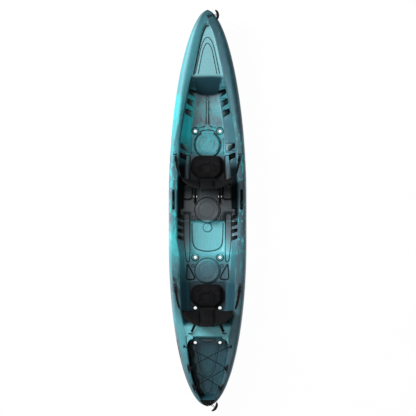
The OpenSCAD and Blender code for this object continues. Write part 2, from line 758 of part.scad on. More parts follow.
// The ring's centre stands off the bar, on the side the strap pulls to
function hook_centre(eye, way) =
    eye + [0, 0, eye_h] + (hook_ring_r - hook_bar_r - eye_r - hook_play) * way;
module snap_hook(eye, way) {
    color(black)
        translate(hook_centre(eye, way))
            rotate([0, -asin(way[2]), atan2(way[1], way[0])]) {
                rotate([90, 0, 0])
                    rotate_extrude($fn = round_fn)
                        translate([hook_ring_r, 0])
                            circle(r = hook_bar_r, $fn = 24);
                translate([hook_ring_r, 0, 0])
                    rotate([0, 90, 0])
                        cylinder(r = hook_bar_r, h = hook_shank_l + 1, $fn = 24);
                translate([hook_ring_r + hook_shank_l, -strap_w / 2 - 3, -hook_end_t / 2])
                    cube([hook_end_l, strap_w + 6, hook_end_t]);
            }
}
// Webbing from a hook to a panel's seam: it leaves the hook flat and turns to the way of the seam
strap_steps = 12;
strap_flat = 0.3;
strap_lead = 60;
sew_off = 0.6;
side_sewn_v = 0.5;
back_sewn_s = 0.22;
back_sewn_v = 0.55;
back_sewn_span = 0.07;
function panel_up(seat) = [0, -sin(seat[2]), cos(seat[2])];
function flat_across(way) = unit(cross(way, [0, 0, 1]));
// The way of a wing's curve at s, square to its height
function wing_along(seat, side, s) =
    let (turn = wing_sweep * s)
    on_back(seat, [side * cos(turn), sin(turn), 0]) - hinge_point(seat);
function wing_out(seat, side, s) =
    unit(wing_point(seat, side, s, back_sewn_v, 1) - wing_point(seat, side, s, back_sewn_v, 0));
// Seams: the point, the way the webbing leaves it and the way of its width there
function side_seam(seat, side) =
    let (along = wing_along(seat, side, 1))
    [wing_point(seat, side, 1, side_sewn_v, 0) + sew_off * along, along, panel_up(seat)];
function back_seam(seat, side) =
    let (
        s = back_sewn_s,
        off = max(swell(s - back_sewn_span, back_sewn_v), swell(s + back_sewn_span, back_sewn_v)) + sew_off
    )
    [wing_point(seat, side, s, back_sewn_v, off), wing_out(seat, side, s), wing_along(seat, side, s)];
function seam_control(seam) = seam[0] + strap_lead * seam[1];
function hook_way(eye, seam) = unit(seam_control(seam) - (eye + [0, 0, eye_h]));
// Middle, width, thickness and length ways of the webbing at a share f of its run
function strap_frame(seam, side, eye, f) =
    let (
        way = hook_way(eye, seam),
        p0 = hook_centre(eye, way) + (hook_reach + seat_gap) * way,
        p1 = seam_control(seam),
        p2 = seam[0],
        d = unit((1 - f) * (p1 - p0) + f * (p2 - p1)),
        w = mix(side * flat_across(way), seam[2], ease((f - strap_flat) / (1 - strap_flat))),
        across = unit(w - (w * d) * d)
    )
    [(1 - f) * (1 - f) * p0 + 2 * f * (1 - f) * p1 + f * f * p2, across, unit(cross(d, across)), d];
module strap(seam, side, eye) {
    points = [
        for (i = [0:strap_steps])
            let (k = strap_frame(seam, side, eye, i / strap_steps))
            for (q = [[-1, -1], [1, -1], [1, 1], [-1, 1]])
                k[0] + q[0] * strap_w / 2 * k[1] + q[1] * strap_t / 2 * k[2]
    ];
    color(webbing_black)
        skin(points, 4, strap_steps + 1);
}
// Slider on a side strap: a slotted frame that the webbing runs through
buckle_l = 26;
buckle_rim = 5;
buckle_t = 8;
buckle_clear = 0.5;
buckle_at = 0.09;
module buckle(seam, side, eye) {
    k = strap_frame(seam, side, eye, buckle_at);
    color(black)
        multmatrix([for (i = [0:2]) [k[3][i], k[1][i], k[2][i], k[0][i]]])
            difference() {
                cube([buckle_l, strap_w + 2 * buckle_rim, buckle_t], center = true);
                cube([2 * buckle_l, strap_w + 2 * buckle_clear, strap_t + 2 * buckle_clear], center = true);
            }
}

// Strap sets: the seat, whether the strap leaves a wing's tip, and the pad eye
FRONT_SIDE = [FRONT_SEAT, true, FRONT_SIDE_EYE];
FRONT_BACK = [FRONT_SEAT, false, FRONT_BACK_EYE];
REAR_SIDE = [REAR_SEAT, true, REAR_SIDE_EYE];
REAR_BACK = [REAR_SEAT, false, REAR_BACK_EYE];
function set_seam(set, side) = set[1] ? side_seam(set[0], side) : back_seam(set[0], side);
module set_strap(set, side) {
    strap(set_seam(set, side), side, mirrored(set[2], side));
}
module set_buckle(set, side) {
    buckle(set_seam(set, side), side, mirrored(set[2], side));
}
module set_hook(set, side) {
    eye = mirrored(set[2], side);
    snap_hook(eye, hook_way(eye, set_seam(set, side)));
}
module pad_eyes() {
    color(black)
        for (set = [FRONT_SIDE, FRONT_BACK, REAR_SIDE, REAR_BACK])
            for (side = [PORT, STARBOARD])
                translate(mirrored(set[2], side))
                    pad_eye();
}
module pad_eye_screws() {
    color("silver")
        for (set = [FRONT_SIDE, FRONT_BACK, REAR_SIDE, REAR_BACK])
            for (side = [PORT, STARBOARD])
                translate(mirrored(set[2], side))
                    pad_eye_screw_pair();
}

// Carry handles: a pad eye, a doubled cord round its bar and a curved toggle, each at one end of the hull
stern_plate_t = 5;
stern_plate_l = 64;
stern_plate_gap = 3;
BOW_EYE = [0, bow_y - 61, bow_deck_z + eye_seat];
STERN_EYE = [16, stern_y + 27, stern_deck_z + stern_plate_t + 2 * eye_seat];
BOW_YAW = 6;
STERN_YAW = -30;
toggle_bend = 75;
toggle_drop = -3;
BOW_REACH = 106;
STERN_REACH = 80;
loop_r = eye_r + cord_r + 0.4;
strand = 6;
// Half of the doubled cord, from the bar outwards, as shares of its reach and heights
CORD_HALF = [[0.15, 5], [0.32, 2.5], [0.5, 0], [0.66, -1.5], [0.82, -2.5], [1, toggle_drop]];
function cord_route(reach) =
    concat(
        [for (i = [len(CORD_HALF) - 1:-1:0]) [reach * CORD_HALF[i][0], strand, CORD_HALF[i][1] + 1]],
        [for (a = [90:30:270]) [loop_r * cos(a), strand * (180 - a) / 90, loop_r * sin(a)]],
        [for (q = CORD_HALF) [reach * q[0], -strand, min(q[1] - 1, 0.08 * reach * q[0] - loop_r)]]
    );
module at_handle(eye, yaw) {
    translate(eye + [0, 0, eye_h])
        rotate([0, 0, yaw])
            children();
}
module handle_eye(eye, yaw) {
    color(black)
        translate(eye)
            rotate([0, 0, yaw + 90])
                pad_eye();
}
module handle_cord(eye, yaw, reach) {
    color(webbing_black)
        at_handle(eye, yaw)
            tube(cord_route(reach), cord_r);
}
// Points and radii along a toggle, from end to end: full in the middle and rounded off at its ends
toggle_steps = 16;
toggle_turn = toggle_l / toggle_bend * 180 / PI;
function toggle_radius(f) =
    toggle_r * sqrt(max(0.001, 1 - pow(abs(2 * f - 1), 3))) * (0.86 + 0.14 * sin(180 * f));
module handle_toggle(eye, yaw, reach) {
    shares = [for (i = [0:toggle_steps]) (1 - cos(180 * mix(0.03, 0.97, i / toggle_steps))) / 2];
    arc = [
        for (f = shares)
            let (a = (f - 0.5) * toggle_turn)
            [reach + toggle_bend * (cos(a) - 1), toggle_bend * sin(a), toggle_drop]
    ];
    color(black)
        at_handle(eye, yaw)
            tube(arc, [for (f = shares) toggle_radius(f)], 16);
}
module bow_handle_screws() {
    color("silver")
        translate(BOW_EYE)
            rotate([0, 0, BOW_YAW + 90])
                pad_eye_screw_pair();
}
module stern_handle_screws() {
    color("silver")
        translate(STERN_EYE)
            rotate([0, 0, STERN_YAW + 90])
                pad_eye_screw_pair();
}
// Black plate that follows the stern's outline
stern_plate_share = 0.72;
stern_plate_steps = 8;
module stern_handle_base() {
    ys = [
        for (i = [0:stern_plate_steps])
            stern_y + mix(stern_plate_gap, stern_plate_l, pow(i / stern_plate_steps, 1.6))
    ];
    outline = concat(
        [for (y = ys) [stern_plate_share * half_beam(y), y]],
        [for (i = [stern_plate_steps:-1:0]) [-stern_plate_share * half_beam(ys[i]), ys[i]]]
    );
    color(black)
        translate([0, 0, stern_deck_z + eye_seat])
            difference() {
                linear_extrude(stern_plate_t)
                    polygon(outline);
                translate([STERN_EYE[0], STERN_EYE[1], -1])
                    rotate([0, 0, STERN_YAW + 90])
                        for (s = [-1, 1])
                            translate([s * (eye_span / 2 + eye_screw_out), 0, 0])
                                cylinder(r = screw_r + plug_clear, h = stern_plate_t + 2, $fn = round_fn);
            }
}

// Lashing over the tank well: four hooks on its rim, a saddle at the stern and one elastic cord
hook_fore_y = along(-1660);
hook_aft_y = along(-1865);
hook_base_w = 20;
hook_base_l = 96;
hook_base_t = 4;
hook_in = rim_edge + hook_base_w / 2;
hook_arm = 24;
hook_arm_w = 24;
hook_post_r = 4.5;
hook_post_h = 10;
hook_head_r = 10;
hook_head_t = 3;
hook_screw_at = 36;
rim_slope_step = 30;
function rim_yaw(y) =
    atan((rim_inner(y + rim_slope_step) - rim_inner(y - rim_slope_step)) / (2 * rim_slope_step));
function rim_pitch(y) =
    atan((rim_z(y + rim_slope_step) - rim_z(y - rim_slope_step)) / (2 * rim_slope_step));
// Puts a piece on the tank well's rim, with local +X pointing inboard
module on_tank_rim(y, side) {
    translate([side * (rim_inner(y) + hook_in), y, rim_z(y) + eye_seat])
        rotate([rim_pitch(y), 0, 0])
            rotate([0, 0, (side > 0 ? 180 : 0) - side * rim_yaw(y)])
                children();
}
module bungee_hook(y, side) {
    color(black)
        on_tank_rim(y, side)
            difference() {
                union() {
                    translate([-hook_base_w / 2, -(hook_base_l - hook_base_w) / 2, 0])
                        cube([hook_base_w, hook_base_l - hook_base_w, hook_base_t]);
                    for (s = [-1, 1])
                        translate([0, s * (hook_base_l - hook_base_w) / 2, 0])
                            cylinder(r = hook_base_w / 2, h = hook_base_t, $fn = round_fn);
                    translate([0, -hook_arm_w / 2, 0])
                        cube([hook_arm, hook_arm_w, hook_base_t]);
                    translate([hook_arm, 0, 0]) {
                        cylinder(r = hook_arm_w / 2, h = hook_base_t, $fn = round_fn);
                        cylinder(r = hook_post_r, h = hook_base_t + hook_post_h, $fn = round_fn);
                        translate([0, 0, hook_base_t + hook_post_h])
                            cylinder(r = hook_head_r, h = hook_head_t, $fn = round_fn);
                    }
                }
                for (s = [-1, 1])
                    translate([0, s * hook_screw_at, -1])
                        cylinder(r = screw_r + plug_clear, h = hook_base_t + 2, $fn = round_fn);
            }
}
module bungee_hooks() {
    for (y = [hook_fore_y, hook_aft_y])
        for (side = [PORT, STARBOARD])
            bungee_hook(y, side);
}
module bungee_hook_screws() {
    color("silver")
        for (y = [hook_fore_y, hook_aft_y])
            for (side = [PORT, STARBOARD])
                on_tank_rim(y, side)
                    for (s = [-1, 1])
                        translate([0, s * hook_screw_at, hook_base_t])
                            pan_screw(screw_l);
}
saddle_w = 34;
saddle_l = 12;
saddle_h = 13;
saddle_y = stern_y + stern_plate_l - saddle_l / 2 - 1;
saddle_z = stern_deck_z + stern_plate_t + 2 * eye_seat;
saddle_bore_z = saddle_z + 7;
module bungee_stern_eye() {
    color(black)
        difference() {
            translate([-saddle_w / 2, saddle_y - saddle_l / 2, saddle_z])
                cube([saddle_w, saddle_l, saddle_h]);
            translate([-saddle_w, saddle_y, saddle_bore_z])
                rotate([0, 90, 0])
                    cylinder(r = bungee_r + 0.6, h = 2 * saddle_w, $fn = round_fn);
        }
}
// Middle of the cord where it passes a hook's post, on the post's outboard side
knot_r = 7.5;
knot_x = 236;
knot_y = along(-1434);
cord_lift = hook_base_t + bungee_r + 1.2;
wrap_r = hook_post_r + bungee_r + 1;
crossing_gap = 5;
function post_at(y, side) =
    [
        side * (rim_inner(y) + hook_in - hook_arm * cos(rim_yaw(y))),
        y + hook_arm * sin(rim_yaw(y)),
        rim_z(y) + eye_seat + cord_lift
    ];
function wrap(y, side) =
    [for (a = [60, 30, 0, -30, -60]) post_at(y, side) + wrap_r * [side * cos(a), sin(a), 0]];
function knot_at(side) = [side * knot_x, knot_y, rim_z(knot_y) + knot_r + eye_seat];
function backwards(v) = [for (i = [len(v) - 1:-1:0]) v[i]];
first_cross_y = along(-1548);
second_cross_y = along(-1772);
function crossing(y, lift) = [0, y, rim_z(y) + cord_lift + lift];
// Half of the run round the stern saddle, from its middle to the starboard side
saddle_half = [
    for (q = [[saddle_w / 2 + 2, 0], [42, 1], [60, 8], [76, 24]])
        [q[0], saddle_y + q[1], saddle_bore_z]
];
bungee_route = concat(
    [knot_at(PORT), knot_at(PORT) + [36, -14, 1], crossing(first_cross_y, crossing_gap)],
    wrap(hook_fore_y, STARBOARD),
    [crossing(second_cross_y, -crossing_gap)],
    wrap(hook_aft_y, PORT),
    [for (q = backwards(saddle_half)) [-q[0], q[1], q[2]]],
    saddle_half,
    backwards(wrap(hook_aft_y, STARBOARD)),
    [crossing(second_cross_y, crossing_gap)],
    backwards(wrap(hook_fore_y, PORT)),
    [crossing(first_cross_y, -crossing_gap), knot_at(STARBOARD) + [-36, -14, 1], knot_at(STARBOARD)]
);
module bungee_cord() {
    color(black) {
        tube(bungee_route, bungee_r);
        for (side = [PORT, STARBOARD])
            translate(knot_at(side))
                sphere(r = knot_r, $fn = 24);
    }
}

hull_section(0);  // hull_stern
hull_section(1);  // hull_rear_seat
hull_section(2);  // hull_tray
hull_section(3);  // hull_mid_deck
hull_section(4);  // hull_front_seat
hull_section(5);  // hull_bow
drain_plug_housing();
drain_plug_gasket();
drain_plug();
handle_eye(BOW_EYE, BOW_YAW);  // bow_handle_eye
bow_handle_screws();
handle_cord(BOW_EYE, BOW_YAW, BOW_REACH);  // bow_handle_cord
handle_toggle(BOW_EYE, BOW_YAW, BOW_REACH);  // bow_handle_toggle
stern_handle_base();
handle_eye(STERN_EYE, STERN_YAW);  // stern_handle_eye
stern_handle_screws();
handle_cord(STERN_EYE, STERN_YAW, STERN_REACH);  // stern_handle_cord
handle_toggle(STERN_EYE, STERN_YAW, STERN_REACH);  // stern_handle_toggle
seat_pad(FRONT_SEAT);  // front_seat_pad
backrest_hem(FRONT_SEAT);  // front_backrest_hem
backrest_centre(FRONT_SEAT);  // front_backrest_centre
backrest_wing(FRONT_SEAT, PORT);  // front_backrest_port_wing
backrest_wing(FRONT_SEAT, STARBOARD);  // front_backrest_starboard_wing
seat_pad(REAR_SEAT);  // rear_seat_pad
backrest_hem(REAR_SEAT);  // rear_backrest_hem
backrest_centre(REAR_SEAT);  // rear_backrest_centre
backrest_wing(REAR_SEAT, PORT);  // rear_backrest_port_wing
backrest_wing(REAR_SEAT, STARBOARD);  // rear_backrest_starboard_wing
set_strap(FRONT_SIDE, PORT);  // front_side_strap_port
set_strap(FRONT_SIDE, STARBOARD);  // front_side_strap_starboard
set_strap(FRONT_BACK, PORT);  // front_back_strap_port
set_strap(FRONT_BACK, STARBOARD);  // front_back_strap_starboard
set_strap(REAR_SIDE, PORT);  // rear_side_strap_port
set_strap(REAR_SIDE, STARBOARD);  // rear_side_strap_starboard
set_strap(REAR_BACK, PORT);  // rear_back_strap_port
set_strap(REAR_BACK, STARBOARD);  // rear_back_strap_starboard
set_buckle(FRONT_SIDE, PORT);  // front_side_buckle_port
set_buckle(FRONT_SIDE, STARBOARD);  // front_side_buckle_starboard
set_buckle(REAR_SIDE, PORT);  // rear_side_buckle_port
set_buckle(REAR_SIDE, STARBOARD);  // rear_side_buckle_starboard
set_hook(FRONT_SIDE, PORT);  // front_side_hook_port
set_hook(FRONT_SIDE, STARBOARD);  // front_side_hook_starboard
set_hook(FRONT_BACK, PORT);  // front_back_hook_port
set_hook(FRONT_BACK, STARBOARD);  // front_back_hook_starboard
set_hook(REAR_SIDE, PORT);  // rear_side_hook_port
set_hook(REAR_SIDE, STARBOARD);  // rear_side_hook_starboard
set_hook(REAR_BACK, PORT);  // rear_back_hook_port
set_hook(REAR_BACK, STARBOARD);  // rear_back_hook_starboard
pad_eyes();
pad_eye_screws();
bungee_cord();
bungee_stern_eye();
bungee_hooks();
bungee_hook_screws();
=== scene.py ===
"""Tandem sit-on-top kayak: the finished surfaces over the CAD frame, one operator for each group of pieces."""
import math

import bmesh
import bpy
import numpy as np
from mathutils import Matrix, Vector, noise
from mathutils.kdtree import KDTree


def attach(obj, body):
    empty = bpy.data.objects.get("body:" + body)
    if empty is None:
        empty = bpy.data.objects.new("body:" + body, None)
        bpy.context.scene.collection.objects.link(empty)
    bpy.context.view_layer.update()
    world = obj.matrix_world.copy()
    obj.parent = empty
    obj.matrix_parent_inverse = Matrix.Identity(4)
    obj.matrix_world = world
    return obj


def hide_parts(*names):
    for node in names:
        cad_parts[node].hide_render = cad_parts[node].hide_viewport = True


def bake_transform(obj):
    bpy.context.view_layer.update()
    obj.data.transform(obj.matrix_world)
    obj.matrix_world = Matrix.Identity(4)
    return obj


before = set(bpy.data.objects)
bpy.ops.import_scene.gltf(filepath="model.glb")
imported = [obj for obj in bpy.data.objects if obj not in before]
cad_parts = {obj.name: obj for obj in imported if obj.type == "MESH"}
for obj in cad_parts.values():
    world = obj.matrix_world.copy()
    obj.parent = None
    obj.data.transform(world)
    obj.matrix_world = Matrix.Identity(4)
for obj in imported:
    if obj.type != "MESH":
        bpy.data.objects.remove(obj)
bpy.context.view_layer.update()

bl_info = {
    "name": "Tandem Kayak",
    "version": (1, 0, 0),
    "blender": (4, 5, 0),
    "location": "3D View > Sidebar > Kayak",
    "description": "Builds a marbled sit-on-top kayak with padded seats, lashing and carry handles",
    "category": "Object",
}

MM = 0.001
PORT, STARBOARD = -1, 1
SIDES = {"port": PORT, "starboard": STARBOARD}
HULL_NODES = ("hull_stern", "hull_rear_seat", "hull_tray", "hull_mid_deck", "hull_front_seat", "hull_bow")


def linear(code):
    """An sRGB hex colour as linear RGBA."""
    parts = [int(code[i : i + 2], 16) / 255 for i in (1, 3, 5)]
    return tuple(p / 12.92 if p <= 0.04045 else ((p + 0.055) / 1.055) ** 2.4 for p in parts) + (1.0,)


# Lines of the hull, in millimetres
BOW_Y, STERN_Y = 2051.0, -2051.0
HALF_BEAM, TIP_HALF = 406.0, 8.0
FOREDECK_Y, ARCH_APEX_Y, ARCH_HALF, ARCH_TAPER = 1375.0, 1916.0, 162.0, 0.72
# Along the bow the gunwale slopes out from a ridge and falls in to its inner edge: stations and sizes
RIM_SLOPE = ((650, 900), (32, 62))
RIM_FALL = ((650, 900, 1375, 1766, 1886), (0, 22, 13.2, 7.9, 0))
# Station, gunwale width, then the run in from the gunwale and the height of the wall's foot,
# of the shelf's inner edge and of the floor's edge
DECK = (
    (-2051, 40, 10, 345, 20, 345, 30, 345),
    (-1984, 57, 8, 345, 16, 345, 30, 345),
    (-1939, 54, 14, 172, 24, 168, 50, 168),
    (-1725, 71, 22, 174, 34, 168, 60, 168),
    (-1530, 93, 22, 174, 34, 168, 60, 168),
    (-1362, 109, 22, 174, 34, 168, 60, 168),
    (-1337, 111, 20, 307.9, 30, 305.9, 40, 305.9),
    (-1225, 105, 20, 307.9, 30, 305.9, 40, 305.9),
    (-1075, 95, 60, 175, 90, 150, 100, 140),
    (-780, 113, 60, 175, 90, 150, 98, 140),
    (-768, 113, 55, 175, 90, 155, 98, 152),
    (-490, 120, 45, 155, 100, 152, 112, 152),
    (-465, 115, 45, 130, 102, 126, 114, 92),
    (-330, 89, 72, 128, 135, 126, 147, 92),
    (-141, 89, 72, 128, 135, 126, 147, 92),
    (-126, 89, 72, 128, 130, 128, 158, 160),
    (-60, 89, 72, 128, 130, 128, 158, 160),
    (-35, 89, 70, 165, 115, 163, 165, 160),
    (85, 89, 70, 165, 115, 163, 165, 160),
    (268, 93, 70, 165, 112, 163, 121, 160),
    (282, 94, 72, 154, 110, 150, 118, 135),
    (560, 96, 68, 152, 106, 148, 114, 135),
    (595, 95, 68, 140, 108, 120, 118, 95),
    (709, 93, 66, 135, 110, 105, 122, 95),
    (834, 101, 56, 135, 94, 105, 109, 95),
    (1187, 121, 54, 140, 79, 105, 95, 95),
    (1375, 130, 14, 315, 24, 313, 40, 313),
    (1886, 90, 10, 353, 20, 353, 30, 353),
    (1916, 90, 10, 375, 20, 375, 30, 375),
    (2051, 40, 10, 375, 20, 375, 30, 375),
)
BRACES = ((907, 118), (450, 76), (-362, 118))
BRACE_STEPS, BRACE_DEPTH = 3, 42.0
# Rows of notches beside the braces: the first one's station, pitch, how many, wall width and floor height
NOTCHES = ((1219.0, 104.0, 3, 90.0, 101.0), (650.0, 95.0, 2, 80.0, 124.0), (-82.0, 73.0, 4, 78.0, 121.0))
# A notch's corners, as shares of the wall's width from the gunwale in and of the pitch from the step's front back
NOTCH_CORNERS = ((0.06, -0.30), (0.97, -0.05), (0.97, 0.62), (0.06, 0.22))
NOTCH_BEND, NOTCH_TOP_Z = 12.0, 420.0
TRAY_REAR_Y, TRAY_CORNER = -465.0, 80.0
TANK_FRONT_Y, TANK_CORNER, TANK_LIP_Z = -1345.0, 55.0, 300.0
# The tank well's round front corners: how far each level stands in, and its height
CORNER_LEVELS = ((26, 164), (2, 297), (3, 302), (6, 304.6), (12, 305.6))
# How far they reach under the gunwale and under the deck before the well
CORNER_UNDER_RIM, CORNER_UNDER_DECK = 5.0, 22.0
# Shallow scallops in the tank well's walls: from, to, pitch and depth
SCALLOPS = (-1830.0, -1420.0, 136.0, 13.0)
SCUPPERS = ((807, 95), (122, 160), (-514, 152), (-1044, 140), (-1406, 168))
SCUPPER_X, SCUPPER_R = 129.0, 17.0
DISCS = ((665, 95), (-21, 160), (-655, 152))
GRIP_X, GRIP_Y, GRIP_L, GRIP_W, GRIP_DEPTH = 354.0, 90.0, 210.0, 26.0, 44.0
# Oval eyes in the gunwale, where the lashing's ends are knotted
EYE_AT, EYE_HALF_W, EYE_HALF_L = (244.0, -1434.0), 9.0, 19.0
PLUG_AT, PLUG_YAW = (241.886, -1700.0, 190.0), math.radians(17.3556)
# Round pads and the boss in the tray, as radius and height pairs
PAD_PROFILE = (
    (0, 11.6), (30, 11.8), (60, 12.0), (78, 12.0), (80.5, 10.6), (83, 12.0), (93, 12.0), (96, 9.6), (99, 11.6),
    (108, 11.4), (116, 9.8), (121, 5.4), (124, -2), (0, -2))
BOSS_PROFILE = ((0, 3.4), (14, 3.8), (20, 5.8), (33, 6.0), (38, 4.6), (42, -2), (0, -2))
BOSS_AT = (0, -203, 92)
# Grooves in the deck are sunk by a share of their radius, and have points about one step apart
GROOVE_SINK, GROOVE_STEP, GROOVE_SIDES = 0.2, 7.0, 10
EDGE_GROOVE_R = 11.0
# Arches on the foredeck panel, in the tank well and round the tray: half width, stations of the base and the head,
# taper and groove radius
ARCHES = (
    (126, 1392, 1770, 0.62, 6.0), (97, 1392, 1708, 0.62, 6.0), (121, -1426, -1756, 0.48, 4.5),
    (98, -1436, -1724, 0.5, 3.5), (58, -1772, -1926, 0.35, 4.5), (163, -158, TRAY_REAR_Y + 14, 0.04, 7.5))
# Lines in the footwell and beside its pad, of which the starboard one is given: groove radius and points
SIDE_LINES = (
    (7.0, ((14, 1128), (14, 1000), (15, 876))),
    (7.5, ((22, 862), (44, 850), (88, 842))),
    (4.5, ((166, 735), (166, 650), (166, 570))))
# Lines across the middle, at the tank well's front and the footwell's drains
MIDDLE_LINES = (
    (5.0, ((-92, -1368), (-60, -1388), (0, -1396), (60, -1388), (92, -1368))),
    (7.5, ((-82, 797), (-50, 812), (0, 818), (50, 812), (82, 797))))
# Rings round drains, dimples and pads: centre, radius, where the last point lies, points and groove radius
SIDE_RINGS = (
    (SCUPPER_X, 807, 38, 345, 24, 6.5), (SCUPPER_X, -514, 38, 345, 24, 6.5),
    (146, -97, 15, 340, 18, 5.0), (150, -603, 15, 340, 18, 5.0))
MIDDLE_RINGS = (
    (0, 1156, 17, 340, 18, 5.5), (0, BOSS_AT[1], 47, 348, 28, 5.5),
    (0, DISCS[1][0], 134, 350, 36, 6.0), (0, DISCS[2][0], 134, 350, 36, 6.0))
# Outlines of tray shelf, seat bench, pocket behind the seat and corner panel: bend, groove radius and corners
SIDE_OUTLINES = (
    (25, 6.5, ((187, -50), (247, -50), (247, -330), (222, -560), (187, -560))),
    (20, 6.0, ((181, 292), (232, 292), (232, 552), (181, 552))),
    (34, 11.0, ((158, 252), (258, 252), (258, 92), (158, 92))),
    (30, 9.0, ((212, -575), (124, -742), (222, -747))))
# Points across each run of a half section, from the keel round to the middle of the deck
RUNS = (2, 2, 2, 2, 4, 4, 4, 4, 4, 4, 3, 12, 7, 5, 12)
DECK_FROM = sum(RUNS[:11])
# Distance of the stations along the hull
STATION_STEP = 11.0


def half_beam(y):
    bow = np.clip((BOW_Y - y) / 1900, 0, None)
    stern = np.clip((y - STERN_Y) / 1680, 0, None)
    bow_share = (1 - np.abs(1 - np.minimum(bow, 1)) ** 1.8) ** 0.54
    stern_share = np.sqrt(1 - (1 - np.minimum(stern, 1)) ** 2)
    return np.maximum(TIP_HALF, HALF_BEAM * np.where(bow < 1, bow_share, stern_share))


def keel_z(y):
    fore = np.clip((y - 800) / 1251, 0, 1)
    aft = np.clip((-900 - y) / 1151, 0, 1)
    return 60 * fore**2 + 240 * fore**10 + 50 * aft**2 + 220 * aft**9


def waist_z(y):
    return 205 + np.where(y > 0, 135, 110) * (np.abs(y) / BOW_Y) ** 3


def rim_z(y):
    return 292 + np.where(y > 0, 83, 53) * np.minimum(1, np.abs(y) / 1911) ** 2


def blurred(values, sigma):
    """Values on the one-millimetre grid, softened along the hull."""
    reach = int(3 * sigma)
    kernel = np.exp(-0.5 * (np.arange(-reach, reach + 1) / sigma) ** 2)
    return np.convolve(np.pad(values, reach, mode="edge"), kernel / kernel.sum(), mode="valid")


GRID_Y = np.arange(STERN_Y, BOW_Y + 1, 1.0)


def deck_lines(soften, brace_soften):
    """The deck's columns and the brace steps on the grid."""
    rows = np.array(DECK, float)
    columns = [blurred(np.interp(GRID_Y, rows[:, 0], rows[:, k]), soften) for k in range(1, 8)]
    brace = np.zeros_like(GRID_Y)
    for first, pitch in BRACES:
        step = (GRID_Y - first) / pitch
        inside = (step >= 0) & (step <= BRACE_STEPS)
        brace = np.where(inside, BRACE_DEPTH * (step - np.floor(step - 0.0001)), brace)
    start, end, pitch, depth = SCALLOPS
    hollow = depth * np.sin(math.pi * (GRID_Y - start) / pitch) ** 2
    return columns, blurred(brace, brace_soften) + np.where((GRID_Y > start) & (GRID_Y < end), hollow, 0)


def least(ys, share):
    """The least half width of a line of the deck, far less where the foredeck panel closes."""
    b = half_beam(ys)
    return np.where(ys > FOREDECK_Y, np.maximum(0.22 * share * b, np.minimum(share * b, 18 * share)), share * b)


def round_corner(run, radius):
    """How far a round corner stands in, at a run from where it begins."""
    run = np.clip(run, 0, radius)
    return radius - np.sqrt(np.maximum(0, radius**2 - (radius - run) ** 2))


def deck_edges(ys, columns, brace):
    """Half widths to the gunwale's inner edge, the wall's foot, the shelf's edge and the floor's edge."""
    b = half_beam(ys)
    gun, foot, shelf, floor = (np.interp(ys, GRID_Y, columns[k]) for k in (0, 1, 3, 5))
    t = np.clip((ys - FOREDECK_Y) / (ARCH_APEX_Y - FOREDECK_Y), 0, 1)
    arch = ARCH_HALF * (1 - ARCH_TAPER * t) * np.sqrt(1 - t**8)
    inner = np.maximum(least(ys, 0.45), np.where(ys > FOREDECK_Y, np.minimum(arch, b - 40), b - gun))
    wall = np.maximum(least(ys, 0.36), inner - foot + np.interp(ys, GRID_Y, brace))
    # The tray's rear corners and the tank well's front corners are round
    floor = floor + np.where(ys < TRAY_REAR_Y, 0, round_corner(ys - TRAY_REAR_Y, TRAY_CORNER))
    corner = np.where(ys > TANK_FRONT_Y, 0, round_corner(TANK_FRONT_Y - ys, TANK_CORNER))
    wall, shelf, floor = wall - corner, shelf + corner, floor + corner
    return inner, wall, np.maximum(least(ys, 0.26), inner - shelf), np.maximum(least(ys, 0.16), inner - floor)


def sections(ys, columns, brace):
    """Half cross-sections at the stations, as (station, point, x or z)."""
    b, k, w, r = half_beam(ys), keel_z(ys), waist_z(ys), rim_z(ys)
    foot_z, shelf_z, floor_z = (np.interp(ys, GRID_Y, columns[i]) for i in (2, 4, 6))
    inner, wall, ledge, floor_x = deck_edges(ys, columns, brace)
    tunnel = 26 * np.clip((1500 - np.abs(ys)) / 500, 0, 1)
    edge_z = r - np.interp(ys, *RIM_FALL)
    drop = np.minimum(np.minimum(10, 0.1 * b), np.clip(0.4 * (edge_z - foot_z), 0, None))
    mix = lambda f: k + (w - k) * f
    nil = np.zeros_like(ys)
    points = (
        (nil, k), (0.16 * b, k), (0.34 * b, k + tunnel), (0.55 * b, k), (0.70 * b, k),
        (0.89 * b, mix(0.28)), (0.97 * b, mix(0.62)), (b, w),
        (b - np.minimum(10, 0.1 * b), w + (r - w) * 0.65),
        (b - np.minimum(np.interp(ys, *RIM_SLOPE), 0.25 * b), r),
        (inner + np.minimum(6, 0.08 * b), edge_z), (inner, edge_z - drop),
        (wall, foot_z), (ledge, shelf_z), (floor_x, floor_z), (nil, floor_z),
    )
    return np.array([np.stack(p, axis=1) for p in points]).transpose(1, 0, 2)


def hull_stations(step):
    """Stations along the hull, closer at the tips, the deck's steps and the brace edges."""
    ys = [np.arange(STERN_Y, BOW_Y, step), [BOW_Y]]
    for tip, way in ((STERN_Y, 1), (BOW_Y, -1)):
        ys.append(tip + way * np.array([0.6, 2, 4, 7, 11, 16, 22, 30]))
    for first, pitch in BRACES:
        for i in range(BRACE_STEPS + 1):
            ys.append(first + i * pitch + np.array([-7, -3.5, 0, 3.5, 7]))
    rows = [row[0] for row in DECK]
    for a, c in zip(rows, rows[1:]):
        if c - a < 50:
            ys.append(np.arange(a - 16, c + 17, 4.0))
    ys.append(np.arange(ARCH_APEX_Y - 130, ARCH_APEX_Y + 8, 5.0))
    ys = np.unique(np.clip(np.concatenate(ys), STERN_Y, BOW_Y))
    keep = [ys[0]]
    for y in ys[1:]:
        if y - keep[-1] >= 0.5 and (y - keep[-1] > 2.2 or y > BOW_Y - 31 or y < STERN_Y + 31):
            keep.append(y)
    return np.array(keep)


